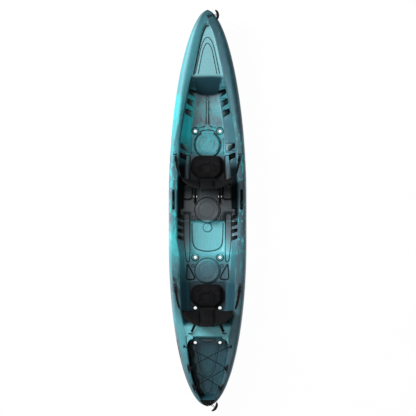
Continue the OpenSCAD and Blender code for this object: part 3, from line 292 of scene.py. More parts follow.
def half_rings(points):
    """Half sections with points along every run, softened at the corners."""
    parts = []
    for run, count in enumerate(RUNS):
        f = (np.arange(count) / count)[None, :, None]
        p, q = points[:, run, None, :], points[:, run + 1, None, :]
        if 4 <= run <= 8:
            before, after = points[:, run - 1, None, :], points[:, run + 2, None, :]
            parts.append(0.5 * (2 * p + (q - before) * f + (2 * before - 5 * p + 4 * q - after) * f**2
                                + (3 * p - before - 3 * q + after) * f**3))
        else:
            parts.append(p + (q - p) * f)
    rings = np.concatenate(parts + [points[:, -1:, :]], axis=1)
    for _ in range(3):
        middle = (rings[:, :-2] + rings[:, 2:]) / 2
        rings[:, 1:-1] = 0.5 * rings[:, 1:-1] + 0.5 * middle
    return rings


class HullForm:
    """The hull's rings, and the height of its deck at any point."""

    def __init__(self, step, soften, brace_soften):
        self.columns, self.brace = deck_lines(soften, brace_soften)
        self.ys = hull_stations(step)
        self.rings = half_rings(sections(self.ys, self.columns, self.brace))

    def deck(self, x, y):
        """Heights of the deck in millimetres, for one point or many."""
        xs, ys = np.atleast_1d(np.abs(x)).astype(float), np.atleast_1d(y).astype(float)
        at = np.clip(np.searchsorted(self.ys, ys) - 1, 0, len(self.ys) - 2)
        found = np.empty(len(xs))
        for i in np.unique(at):
            here = at == i
            f = (ys[here] - self.ys[i]) / (self.ys[i + 1] - self.ys[i])
            low, high = (np.interp(xs[here], self.rings[k, DECK_FROM:, 0][::-1], self.rings[k, DECK_FROM:, 1][::-1])
                         for k in (i, i + 1))
            found[here] = low + (high - low) * f
        return found if np.ndim(x) else float(found[0])


# Meshes
def new_object(name, verts, faces, smooth=35.0):
    """A mesh object from points in millimetres, with its faces turned outward."""
    mesh = bpy.data.meshes.new(name)
    mesh.from_pydata((np.asarray(verts, float) * MM).tolist(), [], [list(map(int, f)) for f in faces])
    shape = bmesh.new()
    shape.from_mesh(mesh)
    bmesh.ops.remove_doubles(shape, verts=shape.verts, dist=1e-6)
    bmesh.ops.recalc_face_normals(shape, faces=shape.faces)
    shape.to_mesh(mesh)
    shape.free()
    made = bpy.data.objects.new(name, mesh)
    bpy.context.scene.collection.objects.link(made)
    smooth_by_angle(made, smooth)
    return made


def smooth_by_angle(piece, degrees):
    piece.data.polygons.foreach_set("use_smooth", [True] * len(piece.data.polygons))
    piece.data.set_sharp_from_angle(angle=math.radians(degrees))


def loft(rings, closed_ends=True):
    """Points and faces of a skin over closed rings that all have the same number of points."""
    rings = np.asarray(rings, float)
    m, n = rings.shape[:2]
    faces = []
    for i in range(m - 1):
        for j in range(n):
            a, c = i * n + j, i * n + (j + 1) % n
            faces.append((a, c, c + n, a + n))
    verts = rings.reshape(-1, 3)
    if closed_ends:
        verts = np.vstack([verts, rings[0].mean(axis=0), rings[-1].mean(axis=0)])
        first, last = m * n, m * n + 1
        for j in range(n):
            faces.append((first, (j + 1) % n, j))
            faces.append((last, (m - 1) * n + j, (m - 1) * n + (j + 1) % n))
    return verts, faces


def joined(parts):
    """Several (points, faces) as one."""
    verts, faces, base = [], [], 0
    for v, f in parts:
        verts.append(np.asarray(v, float))
        faces += [tuple(k + base for k in face) for face in f]
        base += len(v)
    return np.vstack(verts), faces


def unit(v):
    v = np.asarray(v, float)
    return v / np.linalg.norm(v)


def curve_through(points, step):
    """A smooth line through the points, as points about one step apart."""
    p = np.asarray(points, float)
    p = np.vstack([2 * p[0] - p[1], p, 2 * p[-1] - p[-2]])
    line = []
    for i in range(1, len(p) - 2):
        gap = np.linalg.norm(p[i + 1] - p[i])
        knots = np.maximum(1e-6, [np.linalg.norm(p[i + k + 1] - p[i + k]) ** 0.5 for k in (-1, 0, 1)])
        before, after = (p[i] - p[i - 1]) / knots[0], (p[i + 2] - p[i + 1]) / knots[2]
        m1 = (p[i + 1] - p[i]) + knots[1] * (before - (p[i + 1] - p[i - 1]) / (knots[0] + knots[1]))
        m2 = (p[i + 1] - p[i]) + knots[1] * (after - (p[i + 2] - p[i]) / (knots[1] + knots[2]))
        for f in np.linspace(0, 1, max(2, int(math.ceil(gap / step))), endpoint=False):
            line.append((2 * f**3 - 3 * f**2 + 1) * p[i] + (f**3 - 2 * f**2 + f) * m1
                        + (3 * f**2 - 2 * f**3) * p[i + 1] + (f**3 - f**2) * m2)
    return np.array(line + [p[-2]])


def frames_along(line, first_up=(0, 0, 1)):
    """Tangents and two cross directions that turn as little as they can."""
    way = np.gradient(line, axis=0)
    way /= np.linalg.norm(way, axis=1)[:, None]
    up = np.asarray(first_up, float)
    if abs(way[0] @ up) > 0.95:
        up = np.array([1.0, 0, 0])
    side, ups = [], []
    for t in way:
        up = unit(up - t * (up @ t))
        ups.append(up)
        side.append(np.cross(t, up))
    return way, np.array(side), np.array(ups)


def tube(line, radius, sides=12, ring=False):
    """Points and faces of a round tube along a line, with one radius or one for each point."""
    line = np.asarray(line, float)
    radius = np.broadcast_to(np.asarray(radius, float), (len(line),))
    _, side, up = frames_along(line)
    a = np.linspace(0, 2 * math.pi, sides, endpoint=False)
    rings = (line[:, None] + radius[:, None, None]
             * (np.cos(a)[None, :, None] * side[:, None] + np.sin(a)[None, :, None] * up[:, None]))
    if not ring:
        return loft(rings)
    verts, faces = loft(rings, closed_ends=False)
    n, last = sides, (len(line) - 1) * sides
    turn = int(np.argmin([np.linalg.norm(rings[-1] - np.roll(rings[0], -k, axis=0)) for k in range(n)]))
    for j in range(n):
        faces.append((last + j, last + (j + 1) % n, (j + 1 + turn) % n, (j + turn) % n))
    return verts, faces


def turned(profile, centre, segments=72):
    """A solid of revolution from (radius, height) pairs that start and end on the axis."""
    a = np.linspace(0, 2 * math.pi, segments, endpoint=False)
    inner = [p for p in profile if p[0] > 0]
    rings = np.array([[[r * math.cos(t), r * math.sin(t), z] for t in a] for r, z in inner])
    rings = rings + np.asarray(centre, float)
    verts, faces = loft(rings)
    verts[-2, 2], verts[-1, 2] = profile[0][1] + centre[2], profile[-1][1] + centre[2]
    return verts, faces


def ribbon(line, across, width, thickness):
    """A flat band with rounded edges along a line. across gives the way of its width at each point."""
    half_w, half_t = width / 2, thickness / 2
    shape = [(-1, 0), (-0.97, 0.8), (-0.85, 1), (0, 1), (0.85, 1), (0.97, 0.8),
             (1, 0), (0.97, -0.8), (0.85, -1), (0, -1), (-0.85, -1), (-0.97, -0.8)]
    way = np.gradient(line, axis=0)
    way /= np.linalg.norm(way, axis=1)[:, None]
    rings = []
    for p, t, s in zip(line, way, across):
        s = unit(s - t * (s @ t))
        n = np.cross(s, t)
        rings.append([p + s * (u * half_w) + n * (h * half_t) for u, h in shape])
    return loft(rings)


def band_map(piece, line, across, width):
    """Lays a map over a band: U is across it from 0 to 1, V is the metres along it."""
    layer = piece.data.uv_layers.new(name="band")
    line = np.asarray(line, float)
    length = np.concatenate([[0], np.cumsum(np.linalg.norm(np.diff(line, axis=0), axis=1))])
    spots = []
    for v in piece.data.vertices:
        p = np.array(v.co) / MM
        i = int(np.argmin(((line - p) ** 2).sum(axis=1)))
        spots.append((0.5 + ((p - line[i]) @ unit(across[i])) / width, length[i] * MM))
    for corner in piece.data.loops:
        layer.data[corner.index].uv = spots[corner.vertex_index]


def carve(piece, cutter):
    """Cuts the cutter's solids out of the piece for good."""
    cut = piece.modifiers.new("cut", "BOOLEAN")
    cut.operation, cut.solver, cut.object, cut.use_self = "DIFFERENCE", "EXACT", cutter, True
    settle(piece)
    bpy.data.objects.remove(cutter)


def settle(piece):
    """Makes the modifiers' result the piece's own mesh."""
    bpy.context.view_layer.update()
    seen = piece.evaluated_get(bpy.context.evaluated_depsgraph_get())
    mesh = bpy.data.meshes.new_from_object(seen)
    piece.modifiers.clear()
    old, piece.data = piece.data, mesh
    bpy.data.meshes.remove(old)
    piece.data.name = piece.name


def finish_piece(piece, material, slot, body, *nodes):
    """Gives a piece its material, the body it rides on and the CAD nodes it stands for. The slot is not used."""
    piece.data.materials.clear()
    piece.data.materials.append(material)
    if body:
        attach(piece, body)
    if nodes:
        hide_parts(*nodes)


# Node trees and materials
def feed(tree, node, sockets):
    """Feeds a node's sockets with values or with other nodes' outputs."""
    for key, value in sockets.items():
        if isinstance(value, bpy.types.NodeSocket):
            tree.links.new(value, node.inputs[key])
        else:
            node.inputs[key].default_value = value


def add(tree, kind, settings=None, sockets=None, stops=None):
    """Adds a node, sets its options and feeds its sockets."""
    made = tree.nodes.new(kind)
    for key, value in (settings or {}).items():
        setattr(made, key, value)
    feed(tree, made, sockets or {})
    if stops:
        marks = made.color_ramp.elements
        while len(marks) < len(stops):
            marks.new(0.5)
        for mark, (place, colour_there) in zip(marks, stops):
            mark.position, mark.color = place, colour_there
    return made


def object_place(tree):
    return add(tree, "ShaderNodeTexCoord").outputs["Object"]


def speckle(tree, vector, **sockets):
    """A random field."""
    return add(tree, "ShaderNodeTexNoise", {}, {"Vector": vector, **sockets}).outputs["Fac"]


def stripes(tree, vector, axis, **sockets):
    """Soft stripes across an axis."""
    return add(tree, "ShaderNodeTexWave", {"bands_direction": axis}, {"Vector": vector, **sockets}).outputs["Fac"]


def maths(tree, operation, *values):
    return add(tree, "ShaderNodeMath", {"operation": operation}, dict(enumerate(values))).outputs[0]


def spread(tree, value, old, new, **settings):
    """A value taken from its old range to a new one."""
    sockets = {0: value, 1: old[0], 2: old[1], 3: new[0], 4: new[1]}
    return add(tree, "ShaderNodeMapRange", settings, sockets).outputs[0]


def mixed(tree, share_of_second, first, second, **settings):
    """Two colours mixed."""
    sockets = {0: share_of_second, 6: first, 7: second}
    return add(tree, "ShaderNodeMix", {"data_type": "RGBA", **settings}, sockets).outputs[2]


def ramp(tree, value, *stops):
    """Colours along a value."""
    return add(tree, "ShaderNodeValToRGB", {}, {0: value}, stops).outputs[0]


def bumped(tree, height, strength, distance):
    """The directions of a surface with this relief."""
    sockets = {"Height": height, "Strength": strength, "Distance": distance}
    return add(tree, "ShaderNodeBump", {}, sockets).outputs["Normal"]


def surface(name):
    """A material with its tree and shader, or with neither where it has been made before."""
    found = bpy.data.materials.get(name)
    if found:
        return found, None, None
    made = bpy.data.materials.new(name)
    made.use_nodes = True
    return made, made.node_tree, made.node_tree.nodes["Principled BSDF"]


def polyethylene(look):
    """Rotomoulded polyethylene: the zones and painted shade stored on the mesh, streaks of the other colours and a
    satin skin.
    """
    made, tree, shader = surface("marbled_polyethylene")
    if tree is None:
        return made
    place = object_place(tree)
    zones = add(tree, "ShaderNodeAttribute", {"attribute_name": "tone"}).outputs
    # Streaks are drawn out along the hull, as the powder melts on the turning mould
    drawn = add(tree, "ShaderNodeVectorMath", {"operation": "MULTIPLY"}, {0: place, 1: (26.0, 9.0, 26.0)})
    streak = speckle(tree, drawn.outputs["Vector"], Scale=1.0, Detail=6.0, Roughness=0.66, Distortion=0.8)
    tone = zones["Color"]
    streaks = (((0.53, 0.60), look.bright_share, look.bright), ((0.47, 0.36), look.dark_share, look.deep))
    for old, most, tint in streaks:
        amount = spread(tree, streak, old, (0.0, most), interpolation_type="SMOOTHSTEP")
        tone = mixed(tree, maths(tree, "MULTIPLY", amount, zones["Alpha"]), tone, tuple(tint))
    # Small flecks of unmelted powder, of 12 mm and less
    fleck = speckle(tree, place, Scale=110.0, Detail=3.0, Roughness=0.7)
    tone = mixed(tree, 1.0, tone, spread(tree, fleck, (0.34, 0.68), (0.84, 1.14)), blend_type="MULTIPLY")
    # The mould's own pebble, about 3 mm, is drawn at 5 mm so that it still shows
    pebble = speckle(tree, place, Scale=200.0, Detail=3.0)
    # Reflections are weakened where the stored colour is dark, so that the painted shade in grooves and notches stays
    # dark
    lightness = add(tree, "ShaderNodeRGBToBW", {}, {0: tone}).outputs[0]
    feed(tree, shader, {
        "Base Color": tone,
        "Roughness": spread(tree, streak, (0.3, 0.7), (0.36, 0.5)),
        "Specular IOR Level": spread(tree, lightness, (0.004, 0.06), (0.03, 0.4)),
        "Normal": bumped(tree, pebble, 0.10, 0.0008)})
    return made


def seat_cloth(look):
    """Woven polyester over foam: near-black and matte, with a tight basket weave."""
    made, tree, shader = surface("woven_polyester")
    if tree is None:
        return made
    place = object_place(tree)
    # The yarn is under 1 mm, drawn at 2.4 mm so that it still shows
    weave = [stripes(tree, place, axis, Scale=130.0, Distortion=0.6, Detail=1.0) for axis in ("X", "Y", "Z")]
    crossed = maths(tree, "ADD", maths(tree, "MULTIPLY", weave[0], weave[1]), weave[2])
    cloudy = maths(tree, "MULTIPLY", crossed, speckle(tree, place, Scale=16.0, Detail=4.0))
    feed(tree, shader, {
        "Base Color": ramp(tree, cloudy, (0.1, tuple(look.cloth_deep)), (0.75, tuple(look.cloth))),
        "Roughness": 0.88, "Specular IOR Level": 0.06, "Normal": bumped(tree, crossed, 0.35, 0.0006)})
    return made


def webbing(look):
    """Polyester webbing: ribs across the band and a closer weave at its edges."""
    made, tree, shader = surface("polyester_webbing")
    if tree is None:
        return made
    layer = add(tree, "ShaderNodeUVMap", {"uv_map": "band"}).outputs[0]
    # Ribs are about 1.5 mm apart, drawn at 3 mm so that they still show
    ribs = stripes(tree, layer, "Y", Scale=105.0, Distortion=0.4)
    weave = maths(tree, "MULTIPLY", ribs, stripes(tree, layer, "X", Scale=2.6))
    feed(tree, shader, {
        "Base Color": ramp(tree, weave, (0.0, linear("#0b0b0c")), (1.0, tuple(look.webbing))),
        "Roughness": 0.72, "Specular IOR Level": 0.15, "Normal": bumped(tree, weave, 0.5, 0.0006)})
    return made


def plain(name, low, high, scale, rough, metal=0.0, relief=0.08):
    """A plain solid whose tone and gloss drift a little, so that it reads as moulded or turned, not painted."""
    made, tree, shader = surface(name)
    if tree is None:
        return made
    place = object_place(tree)
    drift = speckle(tree, place, Scale=scale, Detail=4.0)
    grain = speckle(tree, place, Scale=scale * 9, Detail=3.0)
    feed(tree, shader, {
        "Base Color": ramp(tree, drift, (0.35, linear(low)), (0.7, linear(high))),
        "Roughness": spread(tree, drift, (0.3, 0.7), (rough * 0.85, rough * 1.15)),
        "Metallic": metal, "Specular IOR Level": 0.5 if metal else 0.2,
        "Normal": bumped(tree, grain, relief, 0.0004)})
    return made


def braided(name, low, high, pitch):
    """Braided sheath of a cord: fine slanted strands round it."""
    made, tree, shader = surface(name)
    if tree is None:
        return made
    place, waves = object_place(tree), []
    for way in ((0.6, 0.6, 0.5), (-0.6, 0.6, -0.5)):
        slant = add(tree, "ShaderNodeVectorMath", {"operation": "DOT_PRODUCT"}, {0: place, 1: way}).outputs["Value"]
        waves.append(maths(tree, "SINE", maths(tree, "MULTIPLY", slant, 2 * math.pi / pitch)))
    level = spread(tree, maths(tree, "MULTIPLY", *waves), (-1.0, 1.0), (0.0, 1.0))
    feed(tree, shader, {
        "Base Color": ramp(tree, level, (0.2, linear(low)), (0.8, linear(high))),
        "Roughness": 0.7, "Specular IOR Level": 0.15, "Normal": bumped(tree, level, 0.5, 0.0006)})
    return made


def nylon():
    # Moulded nylon: black with a low sheen
    return plain("moulded_nylon", "#070708", "#111112", 45.0, 0.45)


def rubber():
    # Moulded rubber: softer black, no shine
    return plain("moulded_rubber", "#070707", "#111112", 70.0, 0.66)


def steel():
    # Stainless steel: pale grey metal with a brushed drift in its gloss
    return plain("stainless_steel", "#9a9c9e", "#c4c6c8", 160.0, 0.3, metal=1.0)


def thread():
    # Polyester thread: charcoal, a shade lighter than the cloth
    return plain("polyester_thread", "#242427", "#37373a", 300.0, 0.7)


def piping_cloth():
    # Folded binding tape round the cushions' seams: a little lighter than the cloth
    return plain("binding_tape", "#161617", "#232325", 220.0, 0.75, relief=0.25)


# The few powders that ran together in the mould, their mixtures, and two tones that are painted shade: black and coal
COLOURS_AND_SHADES = {
    "vivid": "#38e4ea", "cyan": "#4fd0d7", "aqua": "#80d8e2", "ice": "#86c3cc", "sea": "#62b2bd", "teal": "#45919d",
    "dusk": "#4a7985", "steel": "#748f9a", "slate": "#44606b", "deep": "#2e5a67", "ink": "#20363f",
    "black": "#0e1a1f", "charcoal": "#4e555a", "coal": "#212325"}
# Where each of them lies, from stern to bow: tank well, afterdeck, rear seat, platform, tray, mid deck, front seat,
# footwell, bulkhead and foredeck
# On the floor, coal under the front backrest is its painted shadow, and ink and deep on the bulkhead are painted
# shade. Aqua on the afterdeck is painted light, lighter than its own teal, against the rear backrest's shadow.
FLOOR_TONES = (
    (-1400, "deep"), (-1345, "aqua"), (-1240, "aqua"), (-1190, "ink"), (-800, "ink"), (-765, "slate"), (-600, "dusk"),
    (-500, "sea"), (-475, "aqua"), (-142, "aqua"), (-124, "charcoal"), (60, "charcoal"), (190, "coal"), (330, "coal"),
    (540, "slate"), (600, "sea"), (830, "sea"), (900, "steel"), (1060, "ice"), (1185, "steel"), (1205, "ink"),
    (1355, "deep"), (1375, "ice"), (1850, "ice"), (1950, "dusk"), (2051, "deep"))
# Black on the walls is painted shade: on the tank well's port wall, and on both walls beside the front seat
WALL_TONES = {
    PORT: ((-1400, "black"), (-1345, "deep"), (-800, "deep"), (-640, "teal"), (-480, "sea"), (-300, "steel"),
           (-120, "charcoal"), (-60, "black"), (420, "black"), (580, "teal"), (760, "vivid"), (1000, "vivid"),
           (1160, "cyan"), (1260, "deep"), (1400, "ink")),
    STARBOARD: ((-1400, "deep"), (-1345, "dusk"), (-1190, "deep"), (-800, "deep"), (-640, "dusk"), (-480, "teal"),
                (-300, "steel"), (-120, "charcoal"), (-60, "black"), (420, "black"), (580, "dusk"), (900, "dusk"),
                (1160, "teal"), (1400, "dusk"))}
# On the shelves, coal beside the front seat is painted shade, and aqua at the afterdeck is painted light against the
# rear backrest's shadow
SHELF_TONES = (
    (-1400, "deep"), (-1345, "aqua"), (-1240, "aqua"), (-1190, "ink"), (-800, "ink"), (-700, "dusk"), (-480, "aqua"),
    (-300, "steel"), (-120, "charcoal"), (-60, "coal"), (262, "coal"), (290, "charcoal"), (440, "slate"),
    (560, "sea"))
RIM_TONES = {
    PORT: ((-2051, "dusk"), (-1850, "slate"), (-1475, "sea"), (-1250, "sea"), (-900, "dusk"), (-770, "ink"),
           (-640, "dusk"), (-330, "cyan"), (-100, "teal"), (250, "dusk"), (600, "teal"), (1800, "teal"),
           (2051, "deep")),
    STARBOARD: ((-1475, "slate"), (-1163, "dusk"), (-900, "slate"), (-770, "slate"), (-500, "dusk"), (-330, "dusk"),
                (-100, "slate"), (250, "slate"), (600, "dusk"), (1180, "dusk"), (1800, "deep"), (2051, "deep"))}
# The outer slope of the gunwale: the marbling's zones, with the port side painted lighter and the starboard side
# darker, as lit and shaded sides
SIDE_TONES = {
    PORT: ((-2051, "dusk"), (-1300, "steel"), (-1163, "sea"), (-900, "steel"), (-770, "steel"), (-500, "sea"),
           (-330, "aqua"), (-100, "steel"), (250, "steel"), (600, "sea"), (900, "cyan"), (1180, "cyan"),
           (1240, "sea"), (1800, "sea"), (2051, "dusk")),
    STARBOARD: ((-2051, "deep"), (-900, "slate"), (-500, "dusk"), (-100, "slate"), (600, "slate"), (1300, "deep"))}
# The sides below the gunwale
SKIRT_TONES = ((-2051, "deep"), (-1300, "teal"), (-800, "dusk"), (-300, "teal"), (200, "dusk"), (900, "teal"),
               (1500, "teal"), (2051, "deep"))


# The marbling wanders over this distance, in the same way each run
MARBLE_SIZE, MARBLE_SEED = 260.0, 7
# Stations and strengths of the curved foot of the bulkhead's painted shade, of the tank well's painted shade, of the
# shade painted along the gunwale's inner edge, and of the streaks on floors and gunwales
BULKHEAD_FOOT = ((1120, 1180, 1260, 1300), (0, 26, 26, 0))
TANK_SHADE = ((-1975, -1950, -1380, -1350), (0, 1, 1, 0))
EDGE_SHADE = ((620, 700, 1330, 1390), (0, 1, 1, 0))
FLOOR_STREAKS = ((-800, -300, -150, 560, 640, 1100, 1180), (0.04, 0.12, 0.03, 0.03, 0.5, 0.6, 0))
RIM_STREAKS = ((-1300, -600, -250, 450, 750, 1200), (0.08, 0.25, 0.9, 0.9, 0.4, 0.1))
SKIRT_STREAKS = 0.35
# The pale half moon at the tank well's front: its station, half width and depth
MOON_Y, MOON_HALF, MOON_DEPTH = -1362.0, 92.0, 34.0


def zone(tones, ys):
    """Linear colours of a run of zones at the stations."""
    places = [station for station, _ in tones]
    codes = np.array([linear(COLOURS_AND_SHADES[tint])[:3] for _, tint in tones])
    return np.stack([np.interp(ys, places, codes[:, k]) for k in range(3)], axis=1)


def by_side(tones, x, ys):
    return np.where((x < 0)[:, None], zone(tones[PORT], ys), zone(tones[STARBOARD], ys))


def smooth(f):
    f = np.clip(f, 0, 1)
    return f * f * (3 - 2 * f)


def column(f):
    """An eased share of each point, to weigh colours with."""
    return smooth(f)[:, None]


def paint(piece, form):
    """Stores every point's colour: floor, walls, gunwales and sides, with painted shade that makes pockets, grooves,
    drains and shaded walls darker.
    """
    points = np.empty(3 * len(piece.data.vertices), np.float32)
    piece.data.vertices.foreach_get("co", points)
    x, y, z = points.reshape(-1, 3).T.astype(float) / MM
    noise.seed_set(MARBLE_SEED)
    sway = np.array([noise.noise_vector(Vector(p)) for p in np.stack([x, y, z], axis=1) / MARBLE_SIZE])
    out = np.abs(x)
    wavy_out = out + 6 * sway[:, 0]
    inner, wall, _, floor = deck_edges(y, form.columns, 0 * form.brace)
    foot_z, shelf_z, floor_z = (np.interp(y, GRID_Y, form.columns[k]) for k in (2, 4, 6))
    ridge = half_beam(y) - np.minimum(np.interp(y, *RIM_SLOPE), 0.25 * half_beam(y))
    # From the middle out: floor, shelf, wall, gunwale and the gunwale's outer slope
    flat = (foot_z - floor_z < 20)[:, None]
    low = np.maximum(column((floor - out + 12) / 10), column((floor_z + 17 - z) / 12) * flat)
    shelf = column((wall - out + 8) / 10) * (np.abs(foot_z - shelf_z) < 12)[:, None]
    rim = column((wavy_out - inner + 8) / 14)
    bow_in = np.interp(y, *BULKHEAD_FOOT) * (1 - (x / 115) ** 2)
    tone = by_side(WALL_TONES, x, y + 40 * sway[:, 1])
    tone = tone + (zone(SHELF_TONES, y + 30 * sway[:, 1]) - tone) * shelf
    tone = tone + (zone(FLOOR_TONES, y + 12 * sway[:, 1] + bow_in) - tone) * low
    tone = tone + (by_side(RIM_TONES, x, y + 120 * sway[:, 1]) - tone) * rim
    tone = tone + (by_side(SIDE_TONES, x, y + 90 * sway[:, 2]) - tone) * column((wavy_out - ridge + 5) / 9)
    # The tank well's port wall throws a wavy shade on its floor, and a pale half moon lies at its front
    in_well = z < TANK_LIP_Z
    wave = np.sin(2 * math.pi * (y - SCALLOPS[0]) / SCALLOPS[2])
    shade = smooth((-x - floor + 9 + 8 * wave) / 13) * np.interp(y, *TANK_SHADE) * in_well
    tone *= (1 - 0.85 * shade)[:, None]
    moon = column((1 - (x / MOON_HALF) ** 2 - ((y - MOON_Y) / MOON_DEPTH) ** 2) / 0.25)
    tone = tone + (linear(COLOURS_AND_SHADES["steel"])[:3] - tone) * moon * ((y < TANK_FRONT_Y - 5) & in_well)[:, None]
    # Painted shade: a dark line along the gunwale's inner edge beside the footwell, stronger to port where the wall
    # stands in shade
    line = np.exp(-(((out - inner) / 6) ** 2)) * np.interp(y, *EDGE_SHADE) * (z > 200)
    tone *= (1 - np.where(x < 0, 0.75, 0.3) * line)[:, None]
    # Painted shade: whatever is cut into the deck is darkened with its depth, and so are the grips and the eyes in
    # the gunwale's flat top
    cut = (out < inner) & (z > keel_z(y) + 14)
    top = (out > inner + 7) & (out < ridge - 1) & (y < 640) & (z > rim_z(y) - 60)
    depth = np.where(top, rim_z(y) - 3, form.deck(x, y)) - z
    tone *= (1 - (0.8 * smooth((depth - 1.5) / 6) + 0.15 * smooth((depth - 10) / 20)) * (cut | top))[:, None]
    streaks = np.interp(y, *FLOOR_STREAKS) * low[:, 0] * (1 - rim[:, 0]) + rim[:, 0] * np.interp(y, *RIM_STREAKS)
    # Below the gunwale both sides are alike
    skirt = smooth((waist_z(y) - 10 - z) / 50) * (out > np.maximum(inner + 10, 0.5 * half_beam(y)))
    tone = tone + (zone(SKIRT_TONES, y + 160 * sway[:, 2]) - tone) * skirt[:, None]
    streaks = streaks + (SKIRT_STREAKS - streaks) * skirt
    store = piece.data.attributes.new("tone", "FLOAT_COLOR", "POINT")
    store.data.foreach_set("color", np.column_stack([tone, streaks]).ravel())


# Repeated pieces, made by geometry nodes
def geometry_tree(name, inputs):
    """A new tree with named inputs, and those inputs' sockets."""
    tree = bpy.data.node_groups.new(name, "GeometryNodeTree")
    tree.interface.new_socket("Geometry", in_out="INPUT", socket_type="NodeSocketGeometry")
    for label, kind in inputs:
        tree.interface.new_socket(label, in_out="INPUT", socket_type=kind)
    tree.interface.new_socket("Geometry", in_out="OUTPUT", socket_type="NodeSocketGeometry")
    return tree, tree.nodes.new("NodeGroupInput").outputs


def grow(base, tree, values, name):
    """Runs a tree on the base object and returns its result as a plain mesh object."""
    run = base.modifiers.new("grow", "NODES")
    run.node_group = tree
    for item in tree.interface.items_tree:
        if item.in_out == "INPUT" and item.name in values:
            run[item.identifier] = values[item.name]
    bpy.context.view_layer.update()
    mesh = bpy.data.meshes.new_from_object(base.evaluated_get(bpy.context.evaluated_depsgraph_get()))
    bpy.data.objects.remove(base)
    mesh.name = name
    made = bpy.data.objects.new(name, mesh)
    bpy.context.scene.collection.objects.link(made)
    return made


def stitch_tree():
    """Short thread stitches along the base's edges."""
    found = bpy.data.node_groups.get("stitch_rows")
    if found:
        return found
    sizes = [(label, "NodeSocketFloat") for label in ("Pitch", "Length", "Thickness")]
    tree, given = geometry_tree("stitch_rows", sizes + [("Material", "NodeSocketMaterial")])
    line = add(tree, "GeometryNodeMeshToCurve", {}, {0: given["Geometry"]})
    spaced = add(tree, "GeometryNodeResampleCurve", {"mode": "LENGTH"},
                 {"Curve": line.outputs[0], "Length": given["Pitch"]})
    bead = add(tree, "GeometryNodeMeshUVSphere", {}, {"Segments": 6, "Rings": 5, "Radius": 0.5})
    size = add(tree, "ShaderNodeCombineXYZ", {}, {0: given["Thickness"], 1: given["Thickness"], 2: given["Length"]})
    shaped = add(tree, "GeometryNodeTransform", {}, {"Geometry": bead.outputs[0], "Scale": size.outputs[0]})
    tangent = add(tree, "GeometryNodeInputTangent")
    turn = add(tree, "FunctionNodeAlignRotationToVector", {"axis": "Z"}, {"Vector": tangent.outputs[0]})
    points = add(tree, "GeometryNodeInstanceOnPoints", {},
                 {"Points": spaced.outputs[0], "Instance": shaped.outputs[0], "Rotation": turn.outputs[0]})
    real = add(tree, "GeometryNodeRealizeInstances", {}, {0: points.outputs[0]})
    soft = add(tree, "GeometryNodeSetShadeSmooth", {}, {0: real.outputs[0]})
    dressed = add(tree, "GeometryNodeSetMaterial", {}, {"Geometry": soft.outputs[0], "Material": given["Material"]})
    add(tree, "NodeGroupOutput", {}, {0: dressed.outputs[0]})
    return tree


def screw_tree():
    """A screw on each point of the base, along the point's own axis and turned at random."""
    found = bpy.data.node_groups.get("screw_set")
    if found:
        return found
    tree, given = geometry_tree("screw_set", (("Screw", "NodeSocketObject"), ("Seed", "NodeSocketInt"),
                                              ("Material", "NodeSocketMaterial")))
    axis = add(tree, "GeometryNodeInputNamedAttribute", {"data_type": "FLOAT_VECTOR"}, {"Name": "axis"})
    upright = add(tree, "FunctionNodeAlignRotationToVector", {"axis": "Z"}, {"Vector": axis.outputs[0]})
    angle = add(tree, "FunctionNodeRandomValue", {"data_type": "FLOAT"},
                {2: 0.0, 3: 2 * math.pi, "Seed": given["Seed"]})
    spin = add(tree, "FunctionNodeAxisAngleToRotation", {}, {"Axis": (0.0, 0.0, 1.0), "Angle": angle.outputs[1]})
    turn = add(tree, "FunctionNodeRotateRotation", {"rotation_space": "LOCAL"},
               {"Rotation": upright.outputs[0], "Rotate By": spin.outputs[0]})
    shape = add(tree, "GeometryNodeObjectInfo", {}, {"Object": given["Screw"], "As Instance": True})
    points = add(tree, "GeometryNodeInstanceOnPoints", {},
                 {"Points": given["Geometry"], "Instance": shape.outputs["Geometry"], "Rotation": turn.outputs[0]})
    real = add(tree, "GeometryNodeRealizeInstances", {}, {0: points.outputs[0]})
    dressed = add(tree, "GeometryNodeSetMaterial", {}, {"Geometry": real.outputs[0], "Material": given["Material"]})
    add(tree, "NodeGroupOutput", {}, {0: dressed.outputs[0]})
    return tree


def stitches(name, lines, body, pitch=5.0, length=3.4, thickness=0.9):
    """Rows of stitches along lines, as one piece that rides on a body."""
    verts, edges = [], []
    for line in lines:
        start = len(verts)
        verts += [tuple(np.asarray(p, float) * MM) for p in line]
        edges += [(start + i, start + i + 1) for i in range(len(line) - 1)]
    mesh = bpy.data.meshes.new(name + "_rows")
    mesh.from_pydata(verts, edges, [])
    base = bpy.data.objects.new(name + "_rows", mesh)
    bpy.context.scene.collection.objects.link(base)
    sizes = {"Pitch": pitch * MM, "Length": length * MM, "Thickness": thickness * MM, "Material": thread()}
    finish_piece(grow(base, stitch_tree(), sizes, name), thread(), "webbing", body)


def islands(node):
    """The separate solids of a CAD node, each as an array of points in metres."""
    shape = bmesh.new()
    shape.from_mesh(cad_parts[node].data)
    bmesh.ops.remove_doubles(shape, verts=shape.verts, dist=1e-6)
    found, seen = [], set()
    for vert in shape.verts:
        if vert.index in seen:
            continue
        group, stack = [], [vert]
        seen.add(vert.index)
        while stack:
            v = stack.pop()
            group.append(tuple(v.co))
            for edge in v.link_edges:
                other = edge.other_vert(v)
                if other.index not in seen:
                    seen.add(other.index)
                    stack.append(other)
        found.append(np.array(group))
    shape.free()
    return found


# The hull's form is worked out once and kept here
FORMS = {}


def hull_form(look):
    if "form" not in FORMS:
        FORMS["form"] = HullForm(STATION_STEP, look.soften / MM, look.brace_soften / MM)
    return FORMS["form"]


